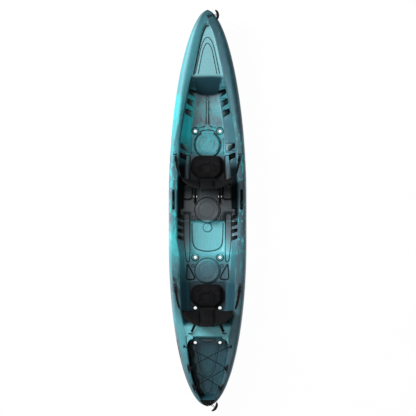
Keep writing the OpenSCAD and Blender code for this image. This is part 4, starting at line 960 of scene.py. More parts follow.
def hull_skin(form):
    """The closed outside of the moulding, with rounded stem and stern."""
    half = form.rings
    full = np.concatenate([half, half[:, -2:0:-1] * np.array([-1.0, 1.0])], axis=1)
    rings = np.stack([full[..., 0], np.broadcast_to(form.ys[:, None], full.shape[:2]), full[..., 1]], axis=2)
    ends = []
    for ring, way in ((rings[0], -1), (rings[-1], 1)):
        middle = ring.mean(axis=0)
        ends.append([middle + (ring - middle) * np.array([s, 1, 0.5 + 0.5 * s]) + np.array([0, way * d, 0])
                     for s, d in ((0.82, 1.6), (0.5, 3.0))])
    return loft(np.concatenate([ends[0][::-1], rings, ends[1]]))


def drain_cut(x, y, z):
    """A scupper drain, flared at both mouths."""
    keel = keel_z(float(y))
    flare = ((0, -20), (24, -20), (23.5, keel + 3), (SCUPPER_R, keel + 12), (SCUPPER_R, z - 9),
             (SCUPPER_R + 2, z - 4), (SCUPPER_R + 7, z + 0.5), (SCUPPER_R + 9, z + 5), (SCUPPER_R + 9, z + 12),
             (0, z + 12))
    return turned(flare, (x, y, 0), 40)


def grip_cut(side):
    """The finger slot of a side grip, with a rounded floor and lip."""
    half, outline = GRIP_W / 2, []
    for end, first in ((1, 0), (-1, 180)):
        for a in np.radians(np.linspace(first, first + 180, 13)):
            outline.append((half * math.cos(a), end * (GRIP_L - GRIP_W) / 2 + half * math.sin(a)))
    top = float(rim_z(GRIP_Y))
    low = top - GRIP_DEPTH
    levels = ((0.55, low), (0.9, low + 3), (1.0, low + 9), (1.0, top - 7), (1.08, top - 3), (1.32, top + 1),
              (1.5, top + 12))
    return loft([[(side * GRIP_X + x * s, GRIP_Y + y + np.sign(y) * half * (s - 1), z) for x, y in outline]
                 for s, z in levels])


def eye_cut(side):
    """The oval eye that an end of the lashing is knotted in."""
    x, y = side * EYE_AT[0], EYE_AT[1]
    top = float(rim_z(y))
    oval = [(EYE_HALF_W * math.cos(a), EYE_HALF_L * math.sin(a)) for a in np.radians(np.arange(0, 360, 15))]
    levels = ((0.5, top - 12), (0.9, top - 10), (1.0, top - 5), (1.05, top - 1), (1.3, top + 8))
    return loft([[(x + u * s, y + v * s, z) for u, v in oval] for s, z in levels])


def plug_seat_cut():
    """The drain plug's seat and tube, on the starboard quarter."""
    verts, faces = turned(((0, -46), (19.1, -46), (19.1, -3), (30, -3), (30.5, 30), (0, 30)), (0, 0, 0), 48)
    out = np.array([math.cos(PLUG_YAW), -math.sin(PLUG_YAW), 0])
    down = np.array([0, 0, -1.0])
    turn = np.stack([down, np.cross(out, down), out], axis=1)
    return verts @ turn.T + np.array(PLUG_AT), faces


def hull_cutters(form):
    """Solids cut out of the moulding: grooves, notches, drains, side grips, eyes and the drain plug's seat."""
    parts = grooves(form) + brace_pockets(form)
    parts += [drain_cut(side * SCUPPER_X, y, z) for y, z in SCUPPERS for side in SIDES.values()]
    for side in SIDES.values():
        parts += [grip_cut(side), eye_cut(side)]
    return joined(parts + [plug_seat_cut()])


def on_deck(form, points, lift, step, closed=False):
    """A smooth line over the deck through points (x, y), raised by lift."""
    if closed:
        points = list(points) + [points[0]]
    line = curve_through([(x, y, 0) for x, y in points], step)
    if closed:
        line = line[:-1]
    line[:, 2] = form.deck(line[:, 0], line[:, 1]) + lift
    return line


def lancet(half_width, base_y, apex_y, taper, count=22):
    """An arch like the foredeck panel's own, with nearly straight sides and a round head."""
    t = 1 - (1 - np.linspace(0, 0.997, count)) ** 2.4
    half = half_width * (1 - taper * t) * np.sqrt(1 - t**8)
    ys = base_y + (apex_y - base_y) * t
    return list(zip(-half, ys)) + [(0, apex_y)] + list(zip(half, ys))[::-1]


def circle(x, y, radius, first, last, count):
    """Points along a circle, between two angles in degrees."""
    a = np.radians(np.linspace(first, last, count))
    return list(zip(x + radius * np.cos(a), y + radius * np.sin(a)))


def rounded(corners, radius):
    """A closed outline with its corners cut back and rounded."""
    corners = [np.array(c, float) for c in corners]
    points = []
    for before, here, after in zip(corners[-1:] + corners[:-1], corners, corners[1:] + corners[:1]):
        a, c = here + unit(before - here) * radius, here + unit(after - here) * radius
        points += [tuple((1 - f) ** 2 * a + 2 * f * (1 - f) * here + f * f * c) for f in (0, 0.33, 0.67, 1)]
    return points


def inner_edge(form, y, brace):
    """Half width to the gunwale's inner edge at one station."""
    return float(deck_edges(np.array([y]), form.columns, brace)[0][0])


def brace_pockets(form):
    """Slanting notches between the steps of the foot braces, as solids to cut."""
    parts = []
    for first, pitch, count, width, base in NOTCHES:
        for i in range(count):
            stations = [(u, first - pitch * (i + back)) for u, back in NOTCH_CORNERS]
            corners = [(inner_edge(form, y, 0 * form.brace) - u * width, y) for u, y in stations]
            for side in SIDES.values():
                outline = rounded([(side * x, y) for x, y in corners], NOTCH_BEND)
                parts.append(loft([[(x, y, z) for x, y in outline] for z in (base, NOTCH_TOP_Z)]))
    return parts


def tank_corner(form, side):
    """Round front corner of the tank well, level with the deck before it."""
    inner = inner_edge(form, TANK_FRONT_Y, form.brace)
    outer, front = inner + CORNER_UNDER_RIM, TANK_FRONT_Y + CORNER_UNDER_DECK
    turn = np.radians(np.linspace(0, 90, 13))
    rings = []
    for inset, z in CORNER_LEVELS:
        x, y = inner - inset - TANK_CORNER, TANK_FRONT_Y - inset - TANK_CORNER
        arc = [(x + TANK_CORNER * math.cos(a), y + TANK_CORNER * math.sin(a)) for a in turn]
        outline = [(outer, front), (outer, y)] + arc + [(x, front)]
        rings.append([(side * u, v, z) for u, v in outline[::side]])
    # The upper rings keep to the deck where they run under it
    for ring in rings[-3:]:
        for k, (u, v, z) in enumerate(ring):
            if v > TANK_FRONT_Y or abs(u) > inner:
                ring[k] = (u, v, min(z, form.deck(u, v) + 0.2))
    return loft(rings)


def grooves(form):
    """Rounded channels moulded in the deck, as solids to cut."""
    # Along the port edge of the foredeck panel, at the height of its floor
    edge = lancet(ARCH_HALF - 17, FOREDECK_Y + 8, ARCH_APEX_Y - 26, ARCH_TAPER)
    line = curve_through([(x, y, 0) for x, y in edge[:27]], GROOVE_STEP)
    line[:, 2] = np.interp(line[:, 1], GRID_Y, form.columns[6]) - GROOVE_SINK * EDGE_GROOVE_R
    parts = [tube(line, EDGE_GROOVE_R, GROOVE_SIDES)]
    lines, loops = [(lancet(*arch), radius) for *arch, radius in ARCHES], []
    for side in SIDES.values():
        # A crescent on either side of the footwell's pad
        middle = 90 - 90 * side
        lines.append((circle(0, DISCS[0][0], 137, middle - 62, middle + 62, 15), 12.0))
        lines += [([(side * x, y) for x, y in points], radius) for radius, points in SIDE_LINES]
        loops += [(circle(side * x, y, size, 0, last, count), radius)
                  for x, y, size, last, count, radius in SIDE_RINGS]
        loops += [(rounded([(side * x, y) for x, y in corners], bend), radius)
                  for bend, radius, corners in SIDE_OUTLINES]
    lines += [(points, radius) for radius, points in MIDDLE_LINES]
    loops += [(circle(x, y, size, 0, last, count), radius) for x, y, size, last, count, radius in MIDDLE_RINGS]
    for channels, closed in ((lines, False), (loops, True)):
        for points, radius in channels:
            line = on_deck(form, points, -GROOVE_SINK * radius, GROOVE_STEP, closed)
            parts.append(tube(line, radius, GROOVE_SIDES, ring=closed))
    return parts


class KAYAK_OT_hull(bpy.types.Operator):
    """Builds the marbled one-piece hull with its drains and grips"""

    bl_idname = "kayak.hull"
    bl_label = "Hull"

    def execute(self, context):
        look = context.scene.kayak_hull
        form = hull_form(look)
        hull = new_object("hull", *hull_skin(form))
        cutter = new_object("hull_cuts", *hull_cutters(form))
        carve(hull, cutter)
        smooth_by_angle(hull, 42)
        paint(hull, form)
        finish_piece(hull, polyethylene(look), "hull", "hull", *HULL_NODES)
        return {"FINISHED"}


class KAYAK_OT_mouldings(bpy.types.Operator):
    """Adds the round pads, the tank well's front corners and the ribs moulded on the deck"""

    bl_idname = "kayak.mouldings"
    bl_label = "Deck mouldings"

    def execute(self, context):
        look = context.scene.kayak_hull
        form = hull_form(look)
        pads = [turned(PAD_PROFILE, (0, y, z)) for y, z in DISCS] + [turned(BOSS_PROFILE, BOSS_AT, 56)]
        self.moulded("round_pads", pads, form, look, 35.0)
        corners = self.moulded("tank_corners", [tank_corner(form, side) for side in SIDES.values()], form, look, 50.0)
        # Their tops are coloured as the deck before the well
        deck_tone = (*zone(FLOOR_TONES, [TANK_FRONT_Y + 35])[0], 0.05)
        for vertex, tone in zip(corners.data.vertices, corners.data.attributes["tone"].data):
            if vertex.co.z > TANK_LIP_Z * MM:
                tone.color = deck_tone
        ribs = []
        for y, _ in SCUPPERS:
            for side in SIDES.values():
                mouth = on_deck(form, circle(side * SCUPPER_X, y, 27.5, 0, 345, 24), 0.8, 6.0, True)
                ribs.append(tube(mouth, 4.2, 10, ring=True))
        # The footwell's spine runs out to a point at both ends
        spine = on_deck(form, [(0, 1118), (0, 1000), (0, 872)], 0.5, 9.0)
        from_end = np.minimum(np.arange(len(spine)), np.arange(len(spine))[::-1])
        ribs.append(tube(spine, np.minimum(5.5, 1.5 + from_end), 12))
        self.moulded("deck_ribs", ribs, form, look, 60.0)
        return {"FINISHED"}

    @staticmethod
    def moulded(name, parts, form, look, angle):
        """A piece of the same plastic as the hull, painted with its zones."""
        made = new_object(name, *joined(parts), smooth=angle)
        paint(made, form)
        finish_piece(made, polyethylene(look), "hull", "hull")
        return made


# Seats: each one's hinge station, the height of its pan and the lean of its backrest in degrees
SEATS = {"front": (294.0, 135.0, 14.0), "rear": (-1049.0, 140.0, 26.0)}
PAD_W, PAD_L, PAD_H, PAD_FLANGE = 348.0, 262.0, 46.0, 11.0
BACK_W, BACK_H, BACK_T = 150.0, 385.0, 34.0
WING_L, WING_SWEEP = 198.0, math.radians(38.0)
WING_BEND = WING_L / WING_SWEEP
# The hinge's height over the pan, the gap under the pad, how far the pad reaches back of the hinge,
# where its nose and its tail begin, and the tail's width
HINGE_RISE, PAD_GAP, PAD_BACK = 39.6, 0.6, 9.0
PAD_NOSE, PAD_TAIL, TAIL_SHARE = 0.36, 0.60, 0.56
# The foot of the backrest's centre panel, the panels' slimming before they are stuffed, and their sewn rows
PANEL_FOOT, PANEL_SLIM, SEAM_OFFSETS = 9.3, 0.86, (-0.36, 0.36)
STRAP_W, STRAP_T = 25.0, 2.0


def hinge(seat):
    y, pan, _ = SEATS[seat]
    return np.array([0.0, y, pan + HINGE_RISE])


def on_back(seat, p):
    """A point of the backrest's own frame: across, to the front and up its slope."""
    lean = math.radians(SEATS[seat][2])
    c, s = math.cos(lean), math.sin(lean)
    return hinge(seat) + np.array([p[0], p[1] * c - p[2] * s, p[1] * s + p[2] * c])


def swell(u, v):
    """Half thickness of a panel, full in the middle and thin at its edges."""
    return 3 + (BACK_T / 2 - 3) * max(0, math.sin(math.pi * u)) ** 0.6 * max(0, math.sin(math.pi * v)) ** 0.6


def centre_point(seat, u, v, off):
    top = BACK_H - 10 * (2 * u - 1) ** 2
    return on_back(seat, (BACK_W * (u - 0.5), -off, PANEL_FOOT + (top - PANEL_FOOT) * v))


def wing_point(seat, side, s, v, off):
    """A point of a wing, which bends forward and narrows to its tip."""
    t = WING_SWEEP * s
    low, high = 30 + 120 * s**1.2, 373 - 123 * s**1.4
    across = BACK_W / 2 + 0.4 + (WING_BEND + off) * math.sin(t)
    return on_back(seat, (side * across, WING_BEND * (1 - math.cos(t)) - off * math.cos(t), low + (high - low) * v))


def pad_half_width(v):
    if v < PAD_NOSE:
        share = 0.5 + 0.5 * math.sqrt(max(0, 1 - (1 - v / PAD_NOSE) ** 2))
    elif v < PAD_TAIL:
        share = 1
    else:
        share = 1 + (TAIL_SHARE - 1) * (1 - math.cos(math.pi * (v - PAD_TAIL) / (1 - PAD_TAIL))) / 2
    return PAD_W / 2 * share


def pad_point(seat, u, v, top):
    """A point of the seat pad: u from port to starboard, v from its front to its tail."""
    y, pan, _ = SEATS[seat]
    half = pad_half_width(v)
    x = (2 * u - 1) * half
    dish = 0.10 * (1 - abs(2 * u - 1) ** 2) * math.sin(math.pi * v) ** 2
    body = (PAD_H - 16 * smooth((v - PAD_TAIL) / (1 - PAD_TAIL))) * (1 - dish)
    rise = smooth((half - abs(x) - 9) / 40) * smooth((v * PAD_L - 7) / 44) * smooth(((1 - v) * PAD_L - 7) / 40)
    height = PAD_FLANGE + (body - PAD_FLANGE) * rise
    return np.array([x, y - PAD_BACK + PAD_L * (1 - v), pan + PAD_GAP + (height if top else 0)])


def pillow(front, back, across, up):
    """A closed skin from two functions of (u, v) that share their edges."""
    us, vs = np.linspace(0, 1, across), np.linspace(0, 1, up)
    verts = [front(u, v) for v in vs for u in us] + [back(u, v) for v in vs for u in us]
    n, base, faces = across, across * up, []
    for i in range(up - 1):
        for j in range(across - 1):
            a = i * n + j
            faces += [(a, a + 1, a + n + 1, a + n), (base + a, base + a + n, base + a + n + 1, base + a + 1)]
    rim = list(range(n)) + [i * n + n - 1 for i in range(1, up)]
    rim += [(up - 1) * n + j for j in range(n - 2, -1, -1)] + [i * n for i in range(up - 2, 0, -1)]
    for a, c in zip(rim, rim[1:] + rim[:1]):
        faces.append((a, base + a, base + c, c))
    return np.array(verts), faces


STUFFING_STEPS = 20


def stuffed(name, skin, cap, pressure, voxel):
    """A foam piece: the skin is meshed evenly, blown up a little as cloth, and kept near where it started."""
    piece = new_object(name, *skin)
    even = piece.modifiers.new("even", "REMESH")
    even.mode, even.voxel_size = "VOXEL", voxel
    settle(piece)
    start = np.array([v.co for v in piece.data.vertices])
    cloth = piece.modifiers.new("stuffing", "CLOTH")
    cloth.settings.use_pressure = True
    cloth.settings.uniform_pressure_force = pressure
    cloth.settings.quality = 4
    cloth.settings.effector_weights.gravity = 0
    cloth.point_cache.frame_start, cloth.point_cache.frame_end = 1, STUFFING_STEPS
    for step in range(1, STUFFING_STEPS + 1):
        bpy.context.scene.frame_set(step)
    seen = piece.evaluated_get(bpy.context.evaluated_depsgraph_get())
    blown = np.array([v.co for v in seen.data.vertices])
    piece.modifiers.clear()
    bpy.context.scene.frame_set(1)
    moved = blown - start
    far = np.linalg.norm(moved, axis=1)[:, None]
    kept = start + moved * np.minimum(1, cap * MM / np.maximum(far, 1e-9))
    piece.data.vertices.foreach_set("co", kept.ravel())
    return piece


def pinch(piece, row, depth, width):
    """Draws a soft piece in along a sewn row."""
    spots = np.array(row) * MM
    tree = KDTree(len(spots))
    for i, p in enumerate(spots):
        tree.insert(p, i)
    tree.balance()
    normals = [v.normal.copy() for v in piece.data.vertices]
    for v, n in zip(piece.data.vertices, normals):
        far = tree.find(v.co)[2]
        if far < width * MM * 2:
            v.co -= n * (depth * MM * math.exp(-((far / (width * MM)) ** 2) * 2))


def rounded_off(piece):
    """Softens a soft piece's mesh and gives it one finer level."""
    soft = piece.modifiers.new("smooth", "SMOOTH")
    soft.factor, soft.iterations = 0.5, 2
    fine = piece.modifiers.new("fine", "SUBSURF")
    fine.levels = fine.render_levels = 1
    settle(piece)
    smooth_by_angle(piece, 80)


def line_on(point, first, last, count):
    """A straight row on a cushion, between two (u, v) pairs."""
    return [point(u, v) for u, v in np.linspace(first, last, count)]


class KAYAK_OT_seat_pads(bpy.types.Operator):
    """Builds the two foam seat pads"""

    bl_idname = "kayak.seat_pads"
    bl_label = "Seat pads"

    def execute(self, context):
        look = context.scene.kayak_seats
        for seat in SEATS:
            top = lambda u, v: pad_point(seat, u, v, True)
            low = lambda u, v: pad_point(seat, u, v, False)
            pad = stuffed(f"{seat}_seat_pad_cushion", pillow(top, low, 41, 33), 3.0, 2.0, look.voxel)
            pinch(pad, line_on(top, (0.6, 0.08), (0.6, 0.92), 60), 3.0, 8.0)
            rounded_off(pad)
            finish_piece(pad, seat_cloth(look), "seat_cloth", "hull", f"{seat}_seat_pad")
            binding = new_object(f"{seat}_seat_pad_binding", *tube(self.rim(seat), 2.6, 8, ring=True), smooth=70)
            finish_piece(binding, piping_cloth(), "seat_cloth", "hull")
        return {"FINISHED"}

    @staticmethod
    def rim(seat):
        """The seam line round the pad's flange."""
        right = [(1.0, v) for v in np.linspace(0.02, 0.98, 40)]
        left = [(0.0, v) for v in np.linspace(0.98, 0.02, 40)]
        front = [(u, 0.0) for u in np.linspace(0.06, 0.94, 14)]
        back = [(u, 1.0) for u in np.linspace(0.94, 0.06, 14)]
        loop = [pad_point(seat, u, v, True) for u, v in front + right + back + left]
        return np.array(loop) - np.array([0, 0, 2.0])


class KAYAK_OT_backrests(bpy.types.Operator):
    """Builds the two folding backrests, each a centre panel with two wings"""

    bl_idname = "kayak.backrests"
    bl_label = "Backrests"

    def execute(self, context):
        look = context.scene.kayak_seats
        for seat in SEATS:
            body = f"{seat}_backrest"
            borders, seams = [], []
            for name, point, mesh, rows in self.panels(seat):
                self.panel(f"{body}_{name}", point, mesh, look, body)
                borders.append(self.border(point))
                seams += [line_on(lambda u, v: point(u, v, -1.02 * swell(u, v)), *row, 50) for row in rows]
            binding = new_object(f"{body}_binding", *joined([tube(b, 2.7, 8, ring=True) for b in borders]), smooth=70)
            finish_piece(binding, piping_cloth(), "seat_cloth", body)
            stitches(f"{body}_stitching", seams, body)
            self.hem(seat, body)
        return {"FINISHED"}

    @staticmethod
    def panels(seat):
        """Each panel's name, its surface, the counts of its mesh and the ends of its sewn rows."""
        rows = [((0.5 + s, 0.1), (0.5 + s, 0.92)) for s in SEAM_OFFSETS]
        panels = [("centre", lambda u, v, off: centre_point(seat, u, v, off), (27, 49), rows)]
        rows = [((0.08, 0.5 + s), (0.92, 0.5 + s)) for s in SEAM_OFFSETS]
        for name, side in SIDES.items():
            surface_point = lambda u, v, off, side=side: wing_point(seat, side, u, v, off)
            panels.append((f"{name}_wing", surface_point, (33, 45), rows))
        return panels

    @staticmethod
    def panel(node, point, mesh, look, body):
        front = lambda u, v: point(u, v, swell(u, v) * PANEL_SLIM)
        back = lambda u, v: point(u, v, -swell(u, v) * PANEL_SLIM)
        made = stuffed(f"{node}_panel", pillow(front, back, *mesh), 4.0, 2.5, look.voxel)
        rounded_off(made)
        finish_piece(made, seat_cloth(look), "seat_cloth", body, node)

    @staticmethod
    def border(point):
        """The binding's line round a panel's edge."""
        pairs = [(u, 0) for u in np.linspace(0.03, 0.97, 20)] + [(1, v) for v in np.linspace(0.03, 0.97, 30)]
        pairs += [(u, 1) for u in np.linspace(0.97, 0.03, 20)] + [(0, v) for v in np.linspace(0.97, 0.03, 30)]
        return np.array([point(u, v, 0.0) for u, v in pairs])

    @staticmethod
    def hem(seat, body):
        """The sewn tube of cloth on the hinge, with a gathered skin."""
        xs = np.linspace(-BACK_W / 2, BACK_W / 2, 61)
        line = np.array([hinge(seat) + np.array([x, 0, 0]) for x in xs])
        size = [8.6 + 0.35 * math.sin(x * 0.55) - 2.6 * smooth((abs(x) - 70) / 5) for x in xs]
        made = new_object(f"{body}_hem_tube", *tube(line, size, 20), smooth=60)
        finish_piece(made, piping_cloth(), "seat_cloth", body, f"{body}_hem")


# The pad eyes that the straps hook on to, and the sizes of eyes and hooks
EYES = {("front", "side"): (334.98, 560.0, 299.43), ("front", "back"): (128.0, 49.0, 160.3),
        ("rear", "side"): (336.17, -790.0, 301.36), ("rear", "back"): (175.0, -1300.0, 306.24)}
EYE_BAR, HOOK_RING, HOOK_BAR, EYE_R, HOOK_PLAY, HOOK_REACH = 14.0, 8.5, 2.4, 3.0, 0.8, 30.5
STRAP_LEAD = 60.0


def strap_seam(seat, kind, side):
    """Where a strap is sewn to the backrest: the point, the way it leaves and the way of its width."""
    lean = math.radians(SEATS[seat][2])
    up = np.array([0, -math.sin(lean), math.cos(lean)])
    s, v = (1.0, 0.5) if kind == "side" else (0.22, 0.55)
    turn = WING_SWEEP * s
    along = on_back(seat, (side * math.cos(turn), math.sin(turn), 0)) - hinge(seat)
    if kind == "side":
        return wing_point(seat, side, s, v, 0) + 0.6 * along, along, up
    off = max(swell(s + d, v) for d in (-0.07, 0, 0.07)) + 0.6
    out = unit(wing_point(seat, side, s, v, 1) - wing_point(seat, side, s, v, 0))
    return wing_point(seat, side, s, v, off), out, along


def strap_line(seat, kind, side, count=49):
    """The strap's middle line from hook to seam, and the way of its width along it."""
    eye = np.array(EYES[seat, kind]) * np.array([side, 1, 1])
    seam, leave, seam_width = strap_seam(seat, kind, side)
    bend = seam + STRAP_LEAD * leave
    bar = eye + np.array([0, 0, EYE_BAR])
    way = unit(bend - bar)
    start = bar + (HOOK_RING - HOOK_BAR - EYE_R - HOOK_PLAY + HOOK_REACH + 0.3) * way
    flat = side * unit(np.cross(way, [0, 0, 1]))
    if flat @ seam_width < 0 and kind == "back":
        flat = -flat
    fs = np.linspace(0, 1, count)
    line = np.array([(1 - f) ** 2 * start + 2 * f * (1 - f) * bend + f * f * seam for f in fs])
    across = np.array([unit(flat + (seam_width - flat) * smooth((f - 0.3) / 0.7)) for f in fs])
    return line, across


class KAYAK_OT_straps(bpy.types.Operator):
    """Builds the eight webbing straps, of which the four back straps are folded back and sewn at their hooks"""

    bl_idname = "kayak.straps"
    bl_label = "Straps"

    def execute(self, context):
        look = context.scene.kayak_seats
        rows = []
        for seat, kind in EYES:
            for name, side in SIDES.items():
                line, across = strap_line(seat, kind, side)
                band = ribbon(line, across, STRAP_W, STRAP_T)
                piece = new_object(f"{seat}_{kind}_webbing_{name}", *band, smooth=50)
                band_map(piece, line, across, STRAP_W)
                finish_piece(piece, webbing(look), "webbing", None, f"{seat}_{kind}_strap_{name}")
                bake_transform(piece)
                if kind == "back":
                    self.fold(f"{seat}_{kind}_webbing_fold_{name}", line, across, look, rows)
        stitches("strap_stitching", rows, "hull", pitch=4.0, length=2.8)
        return {"FINISHED"}

    @staticmethod
    def fold(name, line, across, look, rows):
        """The end that comes back through the hook and is sewn down on the strap."""
        way = np.gradient(line, axis=0)
        count = 9
        lifted = []
        for i in range(count):
            s = unit(across[i] - unit(way[i]) * (across[i] @ unit(way[i])))
            n = np.cross(s, unit(way[i]))
            n = n if n[2] > 0 else -n
            lifted.append(line[i] + n * (STRAP_T + 0.2))
            across[i] = s
        lifted = np.array(lifted)
        piece = new_object(name, *ribbon(lifted, across[:count], STRAP_W - 0.4, STRAP_T), smooth=50)
        band_map(piece, lifted, across[:count], STRAP_W)
        finish_piece(piece, webbing(look), "webbing", "hull")
        top = lifted + np.array([0, 0, STRAP_T * 0.6])
        for k in (-0.38, 0.38):
            rows.append([top[i] + across[i] * (k * STRAP_W) for i in range(2, count - 1)])
        for i in (2, count - 2):
            rows.append([top[i] + across[i] * (k * STRAP_W) for k in np.linspace(-0.38, 0.38, 5)])


# Carry handles: the eye's place, the way that the cord leaves it and the cord's reach
HANDLES = {"bow": ((0.0, 1990.0, 375.3), math.radians(6), 106.0),
           "stern": ((16.0, -2024.0, 350.6), math.radians(-30), 80.0)}
CORD_R, LOOP_R, STRAND = 2.5, 5.9, 6.0
TOGGLE_BEND, TOGGLE_L, TOGGLE_R, TOGGLE_DROP = 75.0, 118.0, 14.5, -3.0
CORD_HALF = ((0.15, 5), (0.32, 2.5), (0.5, 0), (0.66, -1.5), (0.82, -2.5), (1.0, TOGGLE_DROP))


def at_handle(which, points):
    """Points of a handle's own frame, from its bar outwards, across and up, put in place."""
    eye, yaw, _ = HANDLES[which]
    c, s = math.cos(yaw), math.sin(yaw)
    p = np.asarray(points, float)
    turned_points = np.stack([p[:, 0] * c - p[:, 1] * s, p[:, 0] * s + p[:, 1] * c, p[:, 2]], axis=1)
    return turned_points + np.array(eye) + np.array([0, 0, EYE_BAR])


class KAYAK_OT_handles(bpy.types.Operator):
    """Builds the bow and stern carry handles, a doubled cord and a curved toggle each"""

    bl_idname = "kayak.handles"
    bl_label = "Carry handles"

    def execute(self, context):
        deck_line = braided("braided_deck_line", "#0c0c0d", "#1c1c1e", 0.006)
        for which, (_, _, reach) in HANDLES.items():
            body = f"{which}_handle"
            route = [(reach * f, STRAND, h + 1) for f, h in CORD_HALF[::-1]]
            route += [(LOOP_R * math.cos(a), STRAND * (math.pi - a) / (math.pi / 2), LOOP_R * math.sin(a))
                      for a in np.radians(range(90, 271, 15))]
            route += [(reach * f, -STRAND, min(h - 1, 0.08 * reach * f - LOOP_R)) for f, h in CORD_HALF]
            line = at_handle(which, curve_through(route, 3.0))
            cord = new_object(f"{body}_line", *tube(line, CORD_R, 12), smooth=70)
            finish_piece(cord, deck_line, "webbing", body, f"{body}_cord")
            self.toggle(which, body, reach)
        return {"FINISHED"}

    @staticmethod
    def toggle(which, body, reach):
        """A curved grip, full in the middle, with shallow finger grooves and rounded ends."""
        shares = (1 - np.cos(np.pi * np.linspace(0.02, 0.98, 61))) / 2
        angles = (shares - 0.5) * TOGGLE_L / TOGGLE_BEND
        out, across = reach + TOGGLE_BEND * (np.cos(angles) - 1), TOGGLE_BEND * np.sin(angles)
        arc = np.stack([out, across, np.full(len(angles), TOGGLE_DROP)], axis=1)
        size = TOGGLE_R * np.sqrt(np.maximum(0.001, 1 - np.abs(2 * shares - 1) ** 3))
        size *= 0.86 + 0.14 * np.sin(np.pi * shares)
        size *= 1 - 0.03 * np.cos(shares * 8 * 2 * np.pi) ** 2
        made = new_object(f"{body}_grip", *tube(at_handle(which, arc), size, 24), smooth=70)
        finish_piece(made, rubber(), "fitting", body, f"{body}_toggle")


# Lashing: sizes of the cord, and the places of its knots, posts and saddle
BUNGEE_R, WRAP_R = 3.5, 9.0
KNOT = (236.0, -1434.0, 329.6)
POSTS = {"fore": (174.4, -1655.9, 341.0), "aft": (119.4, -1856.3, 351.5)}
SADDLE = (-1994.0, 357.6)
# Stations where it crosses itself, its height over the gunwale there and how far one run passes over the other
CROSS_FORE, CROSS_AFT, CROSS_RISE, CROSS_LIFT = -1548.0, -1772.0, 8.7, 5.0


class KAYAK_OT_lashing(bpy.types.Operator):
    """Builds the elastic cord that crosses the tank well, with a knot at each end"""

    bl_idname = "kayak.lashing"
    bl_label = "Lashing"

    def execute(self, context):
        def knot(side):
            return np.array([side * KNOT[0], KNOT[1], KNOT[2]])

        def cross(y, over):
            return np.array([0, y, float(rim_z(y)) + CROSS_RISE + over * CROSS_LIFT])

        def wrap(which, side):
            x, y, z = POSTS[which]
            return [np.array([side * (x + WRAP_R * math.cos(a)), y + WRAP_R * math.sin(a), z])
                    for a in np.radians((60, 30, 0, -30, -60))]

        saddle = [np.array([x, SADDLE[0] + d, SADDLE[1]]) for x, d in ((19, 0), (42, 1), (60, 8), (76, 24))]
        flip = np.array([-1, 1, 1])
        route = [knot(PORT), knot(PORT) + np.array([36, -14, 1]), cross(CROSS_FORE, 1)] + wrap("fore", STARBOARD)
        route += [cross(CROSS_AFT, -1)] + wrap("aft", PORT) + [q * flip for q in saddle[::-1]] + saddle
        route += wrap("aft", STARBOARD)[::-1] + [cross(CROSS_AFT, 1)] + wrap("fore", PORT)[::-1]
        route += [cross(CROSS_FORE, -1), knot(STARBOARD) + np.array([-36, -14, 1]), knot(STARBOARD)]
        line = curve_through(route, 5.0)
        cord = new_object("lashing_cord", *tube(line, BUNGEE_R, 12), smooth=70)
        elastic = braided("braided_elastic_cord", "#080809", "#161618", 0.007)
        finish_piece(cord, elastic, "elastic", "hull", "bungee_cord")
        knots = []
        turns = np.linspace(0, 2 * math.pi * 1.5, 46)
        coil = np.stack([4.4 * np.cos(turns), 4.4 * np.sin(turns), 2.2 * np.sin(turns / 1.5 * 2) + 0.6], axis=1)
        for side in (PORT, STARBOARD):
            knots.append(tube(knot(side) + coil, 2.9, 10))
        knots = new_object("lashing_knots", *joined(knots), smooth=70)
        finish_piece(knots, elastic, "elastic", "hull")
        return {"FINISHED"}


class KAYAK_OT_fittings(bpy.types.Operator):
    """Gives the hooks, eyes, buckles, plates and drain their moulded materials"""

    bl_idname = "kayak.fittings"
    bl_label = "Fittings"

    def execute(self, context):
        for name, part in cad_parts.items():
            if part.hide_render or name.endswith("screws"):
                continue
            part.data.materials.clear()
            part.data.materials.append(rubber() if name == "drain_plug_gasket" else nylon())
        return {"FINISHED"}


SCREW_NODES = ("pad_eye_screws", "bow_handle_screws", "stern_handle_screws", "bungee_hook_screws")
# One screw, its head's underside at zero height: radius and height pairs
SCREW_PROFILE = (
    (0, -6.0), (1.2, -6.0), (1.9, -5.0), (1.9, -0.2), (3.9, -0.1), (4.0, 0.4), (3.8, 1.1), (3.1, 1.7), (1.8, 2.0),
    (0, 2.05))


class KAYAK_OT_screws(bpy.types.Operator):
    """Sets a cross-recessed pan-head screw in every fixing hole"""

    bl_idname = "kayak.screws"
    bl_label = "Screws"

    def execute(self, context):
        screw = self.screw()
        for k, node in enumerate(SCREW_NODES):
            heads, axes = [], []
            for solid in islands(node):
                middle = solid.mean(axis=0)
                axis = np.linalg.svd(solid - middle)[2][0]
                axis = axis if axis[2] > 0 else -axis
                reach = (solid - middle) @ axis
                heads.append(middle + axis * (reach.max() - 2 * MM))
                axes.append(axis)
            mesh = bpy.data.meshes.new(node + "_places")
            mesh.from_pydata([tuple(h) for h in heads], [], [])
            mesh.attributes.new("axis", "FLOAT_VECTOR", "POINT").data.foreach_set("vector", np.array(axes).ravel())
            base = bpy.data.objects.new(node + "_places", mesh)
            context.scene.collection.objects.link(base)
            values = {"Screw": screw, "Seed": 11 + k, "Material": steel()}
            made = grow(base, screw_tree(), values, node.replace("screws", "screw_set"))
            smooth_by_angle(made, 40)
            finish_piece(made, steel(), "screw", "hull", node)
        bpy.data.objects.remove(screw)
        return {"FINISHED"}

    @staticmethod
    def screw():
        """One screw with its head's underside at the origin."""
        made = new_object("screw_shape", *turned(SCREW_PROFILE, (0, 0, 0), 24), smooth=40)
        square = ((-1, -1), (1, -1), (1, 1), (-1, 1))
        for width, length in ((0.45, 2.1), (2.1, 0.45)):
            rings = [[(x * width * k, y * length * k, z) for x, y in square] for k, z in ((0.55, 0.7), (1.0, 2.6))]
            carve(made, new_object("screw_slot", *loft(rings)))
        made.hide_render = True
        return made


